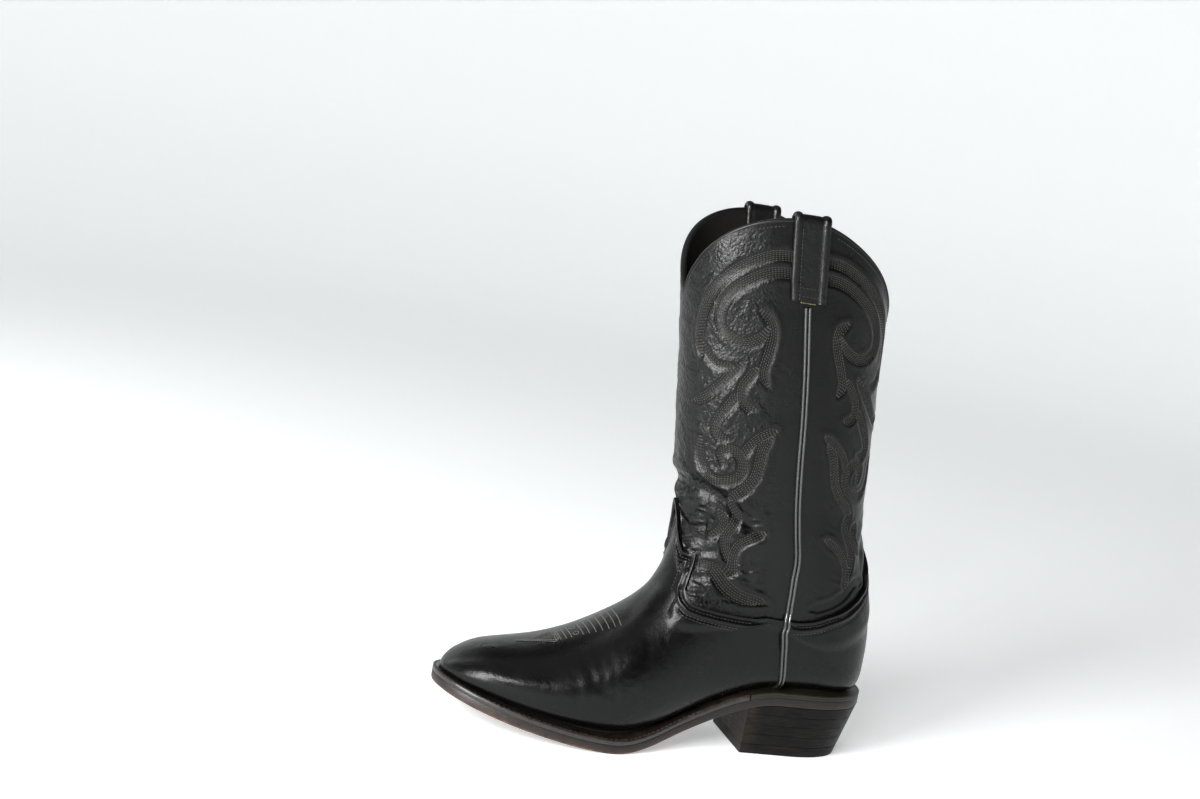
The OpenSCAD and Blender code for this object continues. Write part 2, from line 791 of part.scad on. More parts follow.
// One row of thread runs round the shaft under the binding, between the pull straps
collar_drop = 2.6;                        // distance of the row below the binding

module collar_thread() {
  color([0.2, 0.2, 0.2])
    for (span = [[-74, 74], [106, 254]])
      thread([
        for (t = steps(span[0], span[1], 24))
          let (s = leg_s(t, top_z(t) - binding_h - collar_drop))
          face(s, t, thread_h)
      ]);
}

// Thread along both edges of each strap's outer leg
module strap_thread() {
  inset = 3.2;
  color([0.2, 0.2, 0.2])
    for (side = [-1, 1], edge = [-1, 1])
      thread([
        for (s = steps(strap_foot_s + 0.1, strap_top_s, 5))
          face(s, side * 90, strap_out + strap_t + thread_h) + [edge * (strap_w / 2 - inset), 0, 0]
      ]);
}

vamp();
heel_counter();
front_shaft();
back_shaft();
vamp_lining();
front_lining();
back_lining();
toe_box();
heel_stiffener();
side_piping_outer();
side_piping_inner();
top_binding();
pull_strap_outer();
pull_strap_inner();
insole();
sock_lining();
steel_shank();
cork_filler();
welt();
heel_rand();
outsole();
heel_lift_1();
heel_lift_2();
heel_lift_3();
heel_lift_4();
top_lift();
top_lift_nails();
shank_pegs();
welt_thread();
vamp_thread();
counter_thread();
collar_thread();
strap_thread();
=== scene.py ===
"""Left leather cowboy boot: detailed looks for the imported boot, in metres, in the same frame as the CAD."""

import logging
import math
from dataclasses import dataclass, field
from enum import Enum

import bpy
import numpy as np
from mathutils import Matrix


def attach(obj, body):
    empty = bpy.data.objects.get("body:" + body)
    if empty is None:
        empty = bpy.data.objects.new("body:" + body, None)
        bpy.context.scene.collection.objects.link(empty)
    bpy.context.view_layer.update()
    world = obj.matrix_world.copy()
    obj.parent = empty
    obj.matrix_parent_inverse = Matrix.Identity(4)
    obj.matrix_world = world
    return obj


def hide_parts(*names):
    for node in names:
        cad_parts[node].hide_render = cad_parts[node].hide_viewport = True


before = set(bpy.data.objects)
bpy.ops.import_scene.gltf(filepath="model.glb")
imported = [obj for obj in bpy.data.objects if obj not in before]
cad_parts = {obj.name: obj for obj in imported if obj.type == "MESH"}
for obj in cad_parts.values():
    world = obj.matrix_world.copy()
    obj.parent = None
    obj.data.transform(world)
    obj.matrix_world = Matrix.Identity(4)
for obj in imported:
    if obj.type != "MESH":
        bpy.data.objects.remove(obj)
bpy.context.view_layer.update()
LOG = logging.getLogger("boot")
MM = 0.001


# ---------------------------------------------------------------- curves and the boot's form


def ease(v: np.ndarray) -> np.ndarray:
    """Smooth step of v, from 0 at 0 to 1 at 1."""
    c = np.clip(v, 0.0, 1.0)
    return c * c * (3 - 2 * c)


def mix(a: float, b: float, q: float) -> float:
    """Value between a and b at share q."""
    return a + (b - a) * q


def unit(v: np.ndarray) -> np.ndarray:
    """Vectors of length one along v's last axis."""
    return v / np.maximum(np.linalg.norm(v, axis=-1, keepdims=True), 1e-9)


def spline(points: list[tuple[float, ...]], step: float) -> np.ndarray:
    """Smooth curve through points.

    Args:
        points: the curve's control points, in mm.
        step: distance between the samples, in mm.
    Returns:
        Samples at even distances.
    """
    p = np.array(points, float)
    p = np.vstack([2 * p[0] - p[1], p, 2 * p[-1] - p[-2]])
    f = np.linspace(0, 1, 24, endpoint=False)[:, None]
    runs = []
    for i in range(1, len(p) - 2):
        a, b, c, d = p[i - 1], p[i], p[i + 1], p[i + 2]
        runs.append(b + 0.5 * f * ((c - a) + f * (2 * a - 5 * b + 4 * c - d + f * (3 * (b - c) + d - a))))
    runs.append(p[-2][None, :])
    return even(np.vstack(runs), step)


def even(path: np.ndarray, step: float) -> np.ndarray:
    """The path resampled at even distances of about step.

    Args:
        path: points along a line.
        step: distance between the samples.
    Returns:
        The resampled points.
    """
    length = np.concatenate([[0], np.cumsum(np.linalg.norm(np.diff(path, axis=0), axis=1))])
    n = max(2, int(round(length[-1] / step)) + 1)
    at = np.linspace(0, length[-1], n)
    return np.stack([np.interp(at, length, path[:, k]) for k in range(path.shape[1])], axis=1)


def nearest(points: np.ndarray, path: np.ndarray) -> tuple[np.ndarray, np.ndarray]:
    """Distance from each point to the path's nearest sample, and that sample's index.

    Args:
        points: points to measure from.
        path: samples along a line.
    Returns:
        The distances and the indices.
    """
    found, which = np.empty(len(points)), np.empty(len(points), int)
    for a in range(0, len(points), 4000):
        gap = ((points[a:a + 4000, None, :] - path[None, :, :]) ** 2).sum(-1)
        which[a:a + 4000] = gap.argmin(1)
        found[a:a + 4000] = np.sqrt(gap.min(1))
    return found, which


def value_noise(x: np.ndarray, y: np.ndarray, seed: int) -> np.ndarray:
    """Smooth noise from -1 to 1 with cells of size one, the same for the same seed.

    Args:
        x: places along x, in cells.
        y: places along y, in cells.
        seed: chooses the pattern.
    Returns:
        The noise.
    """
    xi, yi = np.floor(x).astype(np.int64), np.floor(y).astype(np.int64)
    fx, fy = ease(x - xi), ease(y - yi)

    def corner(a: np.ndarray, b: np.ndarray) -> np.ndarray:
        """Fixed pseudo-random value of a grid corner.

        Args:
            a: the corner along x.
            b: the corner along y.
        Returns:
            The values.
        """
        h = (a * 374761393 + b * 668265263 + seed * 974634777) & 0x7FFFFFFF
        h = ((h ^ (h >> 13)) * 1274126177) & 0x7FFFFFFF
        return ((h ^ (h >> 16)) & 0xFFFF) / 32767.5 - 1.0

    low = corner(xi, yi) * (1 - fx) + corner(xi + 1, yi) * fx
    high = corner(xi, yi + 1) * (1 - fx) + corner(xi + 1, yi + 1) * fx
    return low * (1 - fy) + high * fy


@dataclass
class BootForm:
    """The boot's outer form, lofted through slices, in mm. It holds the same sizes as the CAD part.

    A slice is numbered by its station s, from 0 at the toe's tip. Its eleven values are the x and z of its
    upper or front point, the x and z of its lower or back point, its half width, its middle's shift in y,
    where it is widest, the roundness of its front and of its back, its width's share at the sole, and the
    turn of its side seam. An angle t runs round it in degrees: 0 at the front, 90 at the outer side seam,
    180 at the back and -90 at the inner side seam. A plan position u runs along the sole's outline.
    """

    fore_l: float = 114.5
    arch_l: float = 127.5
    seat_l: float = 46
    ball_r: float = 47.5
    waist_r: float = 37
    heel_r: float = 36
    toe_rise: float = 32.5
    shaft_h: float = 304.5
    ankle_l: float = 132.5
    ankle_r: float = 40
    mouth_l: float = 138
    mouth_r: float = 46.5
    lean: float = 21.5
    front_dip: float = 56
    back_dip: float = 68
    seat_h: float = 45
    toe_spring: float = 22.5
    outsole_t: float = 6
    welt_t: float = 3.5
    welt_out: float = 4.5
    seat_out: float = 1.6
    heel_l: float = 75
    heel_base_r: float = 29
    top_lift_t: float = 7
    hide_t: float = 1.8
    lining_t: float = 1.1
    stiffener_t: float = 1.7
    binding_h: float = 2.4
    gap: float = 0.15
    strip_w: float = 9
    breast_s: float = 11.7
    heel_s: float = 13
    tail_s: float = 19
    lap: float = 0.8
    slices: np.ndarray = field(init=False, repr=False)

    def __post_init__(self) -> None:
        """Works out the derived sizes and the slices."""
        self.sole_t = self.outsole_t + self.welt_t
        self.lining_in = self.hide_t + self.gap + self.lining_t
        self.ball_x = -self.arch_l
        self.upper_toe_x = self.ball_x - self.fore_l + self.welt_out
        self.throat_x = self.ball_x + 27.5
        self.leg_x = (self.throat_x + self.seat_l) / 2 - 12.3
        self.ankle_z = self.seat_h + 115
        self.peak_z = self.seat_h + self.shaft_h
        self.heel_top = self.seat_h - self.sole_t
        rise, ball, waist, heel, ankle = self.toe_rise, self.ball_r, self.waist_r, self.heel_r, self.ankle_r
        toe, arch, back, leg = self._toe, self._arch, self._heel, self._leg
        self.slices = np.array([
            toe(0, 1.2, 1.2, 3), toe(0.014, 5, 8, 3), toe(0.05, rise * 0.31, ball * 0.33, 3),
            toe(0.115, rise * 0.51, ball * 0.5, 3), toe(0.228, rise * 0.76, ball * 0.68, 3),
            toe(0.395, rise, ball * 0.84, 2.8), toe(0.6, rise + 9, ball * 0.95, 2.5),
            toe(0.8, rise + 21.5, ball, 1.5), toe(1, rise + 37.5, ball - 1, 0),
            arch(-16, 46, 0.184, mix(waist, ball, 0.6), -1, 0.62, 1.95, 5.5, 0.86),
            arch(-8, 56, 0.357, mix(waist, ball, 0.25), -1.5, 0.6, 1.95, 6, 0.8),
            arch(-3.6, 66, 0.545, waist, -1, 0.57, 2, 6, 0.82),
            arch(-1.4, 75, 0.765, mix(waist, heel, 0.6), 0, 0.55, 2, 6, 0.88),
            arch(-0.2, 84, 1, heel, 0, 0.53, 2.05, 5.5, 0.92),
            back(0.2, 93, -20, 0, heel, 4.5, 0), back(0.2, 100, -4, 2.5, heel + 0.5, 3, 1.5),
            back(-0.3, 106, 0, 19, heel + 1.2, 2.5, 0.5), back(-1, 112, -1, 42, mix(heel, ankle, 0.5), 2.3, 0.5),
            back(-2, 118, -6.5, 65, mix(heel, ankle, 0.75), 2.2, 2.5), back(-3.8, 126, -14, 90, ankle, 2.2, 3.3),
            leg(0.127, 0, 4), leg(0.222, 0.158, 2.8), leg(0.348, 0.343, 2), leg(0.507, 0.528, 0.5),
            leg(0.675, 0.707, -1.5), leg(0.844, 0.887, -2.5), leg(1.034, 1.077, -3),
        ], float)
        t = np.linspace(0, 90, 181)
        ring = self.form(np.full_like(t, 23.0), t)
        arc = np.concatenate([[0], np.cumsum(np.linalg.norm(np.diff(ring, axis=0), axis=1))])
        self._wrap_t, self._wrap_w = t[::-1], (arc[-1] - arc)[::-1]
        self.quarter_w = arc[-1]

    def feather_z(self, x: np.ndarray) -> np.ndarray:
        """Height of the upper's bottom edge over the ground at x.

        Args:
            x: x of the places, in mm.
        Returns:
            The heights, in mm.
        """
        x = np.asarray(x, float)
        fore = self.sole_t + self.toe_spring * (np.maximum(self.ball_x - x, 0) / self.fore_l) ** 1.5
        aft = self.sole_t + (self.seat_h - self.sole_t) * ease((x - self.ball_x) / (-17 - self.ball_x))
        return np.where(x < self.ball_x, fore, aft)

    def _toe(self, q: float, rise: float, r: float, shift: float) -> list[float]:
        """Slice in front of the ball.

        Args:
            q: share of the way from the tip to the ball.
            rise: the top's height over the sole.
            r: half width.
            shift: the slice's shift in y.
        Returns:
            The slice's values.
        """
        x = mix(self.upper_toe_x, self.ball_x, q)
        z = float(self.feather_z(x))
        return [x, z + rise, x, z, r, shift, 0.62, 2.15, 5, 0.94, 0]

    def _arch(self, dx: float, dz: float, q: float, r: float, shift: float,
              wide: float, front_n: float, back_n: float, share: float) -> list[float]:
        """Slice from the instep to the arch.

        Args:
            dx: x of the upper point past the throat.
            dz: height of the upper point over the seat.
            q: share of the way from the ball to the heel.
            r: half width.
            shift: the slice's shift in y.
            wide: where it is widest.
            front_n: roundness of the front.
            back_n: roundness of the back.
            share: the width's share at the sole.
        Returns:
            The slice's values.
        """
        x = mix(self.ball_x, 0, q)
        return [self.throat_x + dx, self.seat_h + dz, x, float(self.feather_z(x)),
                r, shift, wide, front_n, back_n, share, 0]

    def _heel(self, dx: float, dz: float, bdx: float, bdz: float, r: float, back_n: float,
              seam: float) -> list[float]:
        """Slice from the throat to the heel."""
        return [self.throat_x + dx, self.seat_h + dz, self.seat_l + bdx, self.seat_h + bdz,
                r, 0, 0.5, 2.1, back_n, 1, seam]

    def _leg(self, front_q: float, back_q: float, seam: float) -> list[float]:
        """Slice of the shaft.

        Args:
            front_q: share of the shaft's height at the front.
            back_q: share of the shaft's height at the back.
            seam: turn of the side seam.
        Returns:
            The slice's values.
        """
        q = (front_q + back_q) / 2
        depth = mix(self.ankle_l, self.mouth_l, float(ease((q - 0.4) / 0.45)))
        mid, rise = self.leg_x - self.lean * q, self.peak_z - self.ankle_z
        r = mix(self.ankle_r, self.mouth_r, math.sin(math.radians(90 * min(q / 0.8, 1))))
        return [mid - depth / 2, self.ankle_z + rise * front_q, mid + depth / 2, self.ankle_z + rise * back_q,
                r, 0, 0.5, 2.2, 2.2, 1, seam]

    def along(self, s: np.ndarray) -> np.ndarray:
        """Slice rows at stations s, on the smooth curve through the slices.

        Args:
            s: stations.
        Returns:
            One row of values for each station.
        """
        rows, last = self.slices, len(self.slices) - 1
        i = np.clip(np.floor(s).astype(int), 0, last - 1)
        f = (s - i)[..., None]
        a, b, c, d = rows[np.maximum(i - 1, 0)], rows[i], rows[i + 1], rows[np.minimum(i + 2, last)]
        return b + 0.5 * f * ((c - a) + f * (2 * a - 5 * b + 4 * c - d + f * (3 * (b - c) + d - a)))

    def form(self, s: np.ndarray, t: np.ndarray) -> np.ndarray:
        """Points of the outer face at stations s and angles t in degrees.

        Args:
            s: stations.
            t: angles.
        Returns:
            The points, in mm.
        """
        s, t = np.broadcast_arrays(np.asarray(s, float), np.asarray(t, float))
        row = np.moveaxis(self.along(s), -1, 0)
        turn = np.radians(t + row[10] * np.sin(np.radians(t)))
        c, d = np.cos(turn), np.sin(turn)
        front = c > 0
        n = np.where(front, row[7], row[8])
        grow = (np.abs(c) ** n + np.abs(d) ** n) ** (-1 / n)
        fall = grow * np.abs(c)
        u = np.where(front, row[6] * (1 - fall), row[6] + (1 - row[6]) * fall)
        share = np.where(front, 1, 1 - (1 - row[9]) * fall * fall)
        return np.stack([row[0] + (row[2] - row[0]) * u, row[5] - row[4] * share * grow * d,
                         row[1] + (row[3] - row[1]) * u], -1)

    def normal(self, s: np.ndarray, t: np.ndarray) -> np.ndarray:
        """Outward directions at stations s and angles t.

        Args:
            s: stations.
            t: angles.
        Returns:
            Directions of length one.
        """
        s, t = np.broadcast_arrays(np.asarray(s, float), np.asarray(t, float))
        d, last = 0.01, len(self.slices) - 1.0
        ds = self.form(np.minimum(s + d, last), t) - self.form(np.maximum(s - d, d), t)
        return unit(np.cross(self.form(s, t + 0.3) - self.form(s, t - 0.3), ds))

    def face(self, s: np.ndarray, t: np.ndarray, h: np.ndarray) -> np.ndarray:
        """Points at heights h over the outer face."""
        return self.form(s, t) + np.asarray(h, float)[..., None] * self.normal(s, t)

    def top_z(self, t: np.ndarray) -> np.ndarray:
        """Height of the scalloped top edge.

        Args:
            t: angles.
        Returns:
            The heights, in mm.
        """
        k = 1 - np.abs(np.sin(np.radians(t)))
        dip = np.where(np.cos(np.radians(t)) > 0, self.front_dip * k ** 1.05, self.back_dip * k ** 0.85)
        return self.peak_z - dip

    def station(self, t: np.ndarray, z: np.ndarray, low: float = 13.0) -> np.ndarray:
        """Stations where the form reaches heights z at angles t.

        Args:
            t: angles.
            z: heights over the ground, in mm.
            low: station to search from.
        Returns:
            The stations.
        """
        t, z = np.broadcast_arrays(np.asarray(t, float), np.asarray(z, float))
        a, b = np.full(t.shape, low), np.full(t.shape, len(self.slices) - 1.0)
        for _ in range(24):
            m = (a + b) / 2
            below = self.form(m, t)[..., 2] < z
            a, b = np.where(below, m, a), np.where(below, b, m)
        return (a + b) / 2

    def wrap_of(self, t: np.ndarray) -> np.ndarray:
        """Distance round the shaft from the nearer side seam, for angles t."""
        a = np.abs((np.asarray(t, float) + 180) % 360 - 180)
        return np.interp(np.where(a > 90, 180 - a, a), self._wrap_t[::-1], self._wrap_w[::-1])

    def angle_at(self, wrap: np.ndarray) -> np.ndarray:
        """Angle in the front outer quarter at a distance from the side seam."""
        return np.interp(wrap, self._wrap_w, self._wrap_t)

    def plan_base(self, u: np.ndarray) -> np.ndarray:
        """Outline of the upper on the sole; u is 0 at the toe, tail_s at the back, negative on the inner side.

        Args:
            u: plan positions, negative on the inner side.
        Returns:
            Points in plan, in mm.
        """
        u = np.asarray(u, float)
        k, side = np.abs(u), np.sign(u)
        row = np.moveaxis(self.along(np.minimum(k, self.heel_s)), -1, 0)
        a = np.radians(90 * np.clip((k - self.heel_s) / (self.tail_s - self.heel_s), 0, 1))
        r = self.slices[int(self.heel_s)][4] * self.slices[int(self.heel_s)][9]
        x = np.where(k <= self.heel_s, row[2], self.seat_l * np.sin(a) ** 0.83)
        y = np.where(k <= self.heel_s, row[5] - side * row[4] * row[9],
                     -side * r * np.maximum(np.cos(a), 0) ** 0.83)
        return np.stack([x, y], -1)

    def plan(self, u: np.ndarray, out: np.ndarray) -> np.ndarray:
        """Outline moved outwards by out.

        Args:
            u: plan positions, negative on the inner side.
            out: distances outwards, in mm.
        Returns:
            Points in plan, in mm.
        """
        u = np.asarray(u, float)
        d = 0.02
        way = unit(self.plan_base(u + d) - self.plan_base(u - d))
        way = np.where((np.abs(u) > self.tail_s - d)[..., None], np.array([0.0, 1.0]), way)
        return self.plan_base(u) + np.asarray(out, float)[..., None] * np.stack([way[..., 1], -way[..., 0]], -1)

    def sole_out(self, u: np.ndarray) -> np.ndarray:
        """How far the sole stands out past the upper."""
        return self.welt_out + (self.seat_out - self.welt_out) * ease((np.abs(u) - 8.3) / 1.8)

    def over_sole(self, p: np.ndarray, h: np.ndarray) -> np.ndarray:
        """Points at plan places p and heights h over the sole's top."""
        return np.stack([p[..., 0], p[..., 1], self.feather_z(p[..., 0]) + h], -1)

    def heel_point(self, u: np.ndarray, z: np.ndarray, inset: float = 0.0) -> np.ndarray:
        """Points of the heel's side at plan positions u and heights z.

        Args:
            u: plan positions, negative on the inner side.
            z: heights over the ground, in mm.
            inset: distance inwards, in mm.
        Returns:
            The points, in mm.
        """
        u, z = np.broadcast_arrays(np.asarray(u, float), np.asarray(z, float))
        edge = self.seat_out - 0.5
        top = self.plan(u, np.full(u.shape, edge - inset))
        full = self.plan(u, np.full(u.shape, edge))
        front = self.plan(np.array(self.breast_s), np.array(self.seat_out))[0]
        span = self.plan(np.array(self.tail_s), np.array(edge))[0] - front
        side_r = abs(self.plan(np.array(self.heel_s), np.array(edge))[1])
        base = np.stack([-self.heel_l / 2 + (full[..., 0] - front) * self.heel_l / span,
                         full[..., 1] * self.heel_base_r / side_r], -1) + (top - full)
        p = base + (top - base) * (z / self.heel_top)[..., None]
        return np.concatenate([p, z[..., None]], -1)


@dataclass
class Seams:
    """Edges of the vamp and the counter on the form, as stations over the angle."""

    form: BootForm
    vamp_edge: tuple = ((0, 17.4), (5, 16.6), (12, 14.5), (19, 13.55), (25, 13.2), (31, 13.4), (35.5, 13.8),
                        (38, 12.5), (42, 11.5), (48, 11.35), (54, 11.42), (62, 11.8), (70, 12.3), (77, 12.9),
                        (84, 13.6), (88, 14.5), (90, 15), (92, 14.8), (97, 14.2), (107, 13.5), (118, 13),
                        (129, 12.63), (138, 12.42), (147, 12.3))
    counter_edge: tuple = ((90, 15), (96, 15.4), (104, 15.95), (112, 16.5), (121, 17), (130, 17.5), (139, 17.9),
                           (148, 18.2), (157, 18.6), (166, 18.85), (174, 19.1), (180, 19.35))
    counter_base: tuple = ((90, 15), (92, 14.8), (97, 14.2), (107, 13.5), (118, 13), (129, 12.63), (138, 12.42),
                           (147, 12.3), (151, 13.7), (160, 14.2), (180, 14.4))

    @staticmethod
    def _look(table: tuple, t: np.ndarray) -> np.ndarray:
        """Value of a table at t."""
        rows = np.array(table, float)
        return np.interp(t, rows[:, 0], rows[:, 1])

    def vamp_s(self, t: np.ndarray) -> np.ndarray:
        """Station of the vamp's edge."""
        return self._look(self.vamp_edge, np.abs(t))

    def counter_s(self, t: np.ndarray) -> np.ndarray:
        """Station of the counter's top edge."""
        return self._look(self.counter_edge, 180 - np.abs(180 - np.abs(t)))

    def base_s(self, t: np.ndarray) -> np.ndarray:
        """Station of the counter's bottom edge."""
        return self._look(self.counter_base, 180 - np.abs(180 - np.abs(t)))

    def counter_lift(self, s: np.ndarray, t: np.ndarray) -> np.ndarray:
        """How far the counter is lifted where it laps over the shaft."""
        f = self.form
        return (f.hide_t + f.gap) * ease((s - self.counter_s(t) + f.lap + 0.75) / 0.6)

    def vamp_lift(self, s: np.ndarray, t: np.ndarray) -> np.ndarray:
        """How far the vamp is lifted where it laps over the shaft.

        Args:
            s: stations.
            t: angles.
        Returns:
            The lift, in mm.
        """
        f = self.form
        front = (f.hide_t + f.gap) * ease((s - self.vamp_s(t) + f.lap + 0.75) / 0.6)
        return np.where(np.abs(t) > 90, self.counter_lift(s, np.abs(t)), front)

    def lining_over(self, s: np.ndarray, t: np.ndarray) -> np.ndarray:
        """Height of the lining's outer face, with room for the toe box and the heel stiffener.

        Args:
            s: stations.
            t: angles.
        Returns:
            Heights over the outer face, in mm.
        """
        f = self.form
        b = 180 - np.abs(180 - np.abs(t))
        toe = ease((5.8 - s) / 0.6) * ease((134 - np.abs(t)) / 10)
        heel = ease((b - 97) / 8) * ease((s - 12.6) / 0.6) * ease((17.6 - s) / 0.6)
        heel = heel * ease((s - 14.6) / 0.8 + (139 - b) / 8)
        return -f.hide_t - f.gap - (f.stiffener_t + f.gap) * np.maximum(toe, heel)


# ---------------------------------------------------------------- meshes


def make_object(name: str, points: np.ndarray, faces: list, sharp: float = 40.0) -> bpy.types.Object:
    """Makes a smooth-shaded piece.

    Args:
        name: the piece's name.
        points: its points, in mm.
        faces: its faces, as lists of point numbers.
        sharp: angle in degrees past which an edge stays sharp.
    Returns:
        The new object, with its faces turned outwards.
    """
    mesh = bpy.data.meshes.new(name)
    mesh.from_pydata((points * MM).tolist(), [], faces)
    mesh.validate()
    mesh.calc_loop_triangles()
    tri = np.zeros(len(mesh.loop_triangles) * 3, np.int32)
    mesh.loop_triangles.foreach_get("vertices", tri)
    a, b, c = (points[tri.reshape(-1, 3)[:, k]] for k in range(3))
    if (a * np.cross(b, c)).sum() < 0:
        mesh.flip_normals()
    mesh.shade_smooth()
    mesh.set_sharp_from_angle(angle=math.radians(sharp))
    return in_scene(bpy.data.objects.new(name, mesh))


def in_scene(obj: bpy.types.Object) -> bpy.types.Object:
    """Puts an object in the scene."""
    bpy.context.scene.collection.objects.link(obj)
    return obj


def sheet_faces(m: int, n: int) -> list[list[int]]:
    """Faces of a closed sheet with m rows and n columns, its outer points first and its inner points after.

    Args:
        m: number of rows or outlines.
        n: number of points in each.
    Returns:
        The faces, as lists of point numbers.
    """
    k = np.arange(m * n).reshape(m, n)
    a, b, c, d = k[:-1, :-1].ravel(), k[:-1, 1:].ravel(), k[1:, 1:].ravel(), k[1:, :-1].ravel()
    size = m * n
    outer = np.stack([a, d, c, b], 1)
    inner = np.stack([a, b, c, d], 1) + size
    rim = np.concatenate([k[0, :], k[1:, -1], k[-1, -2::-1], k[-2:0:-1, 0]])
    nxt = np.roll(rim, -1)
    wall = np.stack([rim, nxt, nxt + size, rim + size], 1)
    return np.concatenate([outer, inner, wall]).tolist()


def loft_faces(m: int, n: int, ring: bool = False) -> list[list[int]]:
    """Faces of a solid through m closed outlines of n points; ring joins the last outline to the first.

    Args:
        m: number of rows or outlines.
        n: number of points in each.
        ring: True to join the last outline to the first.
    Returns:
        The faces, as lists of point numbers.
    """
    k = np.arange(m * n).reshape(m, n)
    nxt = np.roll(k, -1, axis=1)
    if ring:
        a, b, c, d = k, nxt, np.roll(nxt, -1, axis=0), np.roll(k, -1, axis=0)
    else:
        a, b, c, d = k[:-1], nxt[:-1], nxt[1:], k[1:]
    faces = np.stack([a.ravel(), b.ravel(), c.ravel(), d.ravel()], 1).tolist()
    if not ring:
        faces += [k[0, ::-1].tolist(), k[-1].tolist()]
    return faces


def set_value(obj: bpy.types.Object, name: str, values: np.ndarray) -> None:
    """Stores one number for each point of a piece, for its material."""
    layer = obj.data.attributes.new(name, "FLOAT", "POINT")
    layer.data.foreach_set("value", np.asarray(values, np.float32).ravel())


def dress(obj: bpy.types.Object, material: bpy.types.Material, slot: str, *nodes: str) -> bpy.types.Object:
    """Gives a finished piece its material and its body, and hides the CAD nodes it stands for.

    Args:
        obj: the piece.
        material: its finish.
        slot: not used.
        nodes: the CAD nodes it stands for.
    Returns:
        The same piece.
    """
    obj.data.materials.clear()
    obj.data.materials.append(material)
    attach(obj, "root")
    if nodes:
        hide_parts(*nodes)
    LOG.info("%s: %d faces", obj.name, len(obj.data.polygons))
    return obj


# ---------------------------------------------------------------- finishes


def linear(code: str) -> tuple[float, float, float, float]:
    """Linear colour of an sRGB hex code."""
    parts = [int(code[i:i + 2], 16) / 255 for i in (1, 3, 5)]
    return (*[c / 12.92 if c <= 0.04045 else ((c + 0.055) / 1.055) ** 2.4 for c in parts], 1.0)


def add(tree: bpy.types.NodeTree, kind: str, settings: dict | None = None,
        inputs: dict | None = None) -> bpy.types.Node:
    """Adds a node with its settings, its values and its links.

    Args:
        tree: the tree that gets the node.
        kind: the node's type.
        settings: attributes of the node.
        inputs: a value or another node's output for each input, by name or number.
    Returns:
        The node.
    """
    node = tree.nodes.new(kind)
    for key, value in (settings or {}).items():
        setattr(node, key, value)
    for key, value in (inputs or {}).items():
        if isinstance(value, bpy.types.NodeSocket):
            tree.links.new(value, node.inputs[key])
        else:
            node.inputs[key].default_value = value
    return node


class Coat(Enum):
    """How a leather is finished, as the weight of its clear coat."""

    SATIN = 0.05
    GLAZED = 0.7
    RAW = 0.0


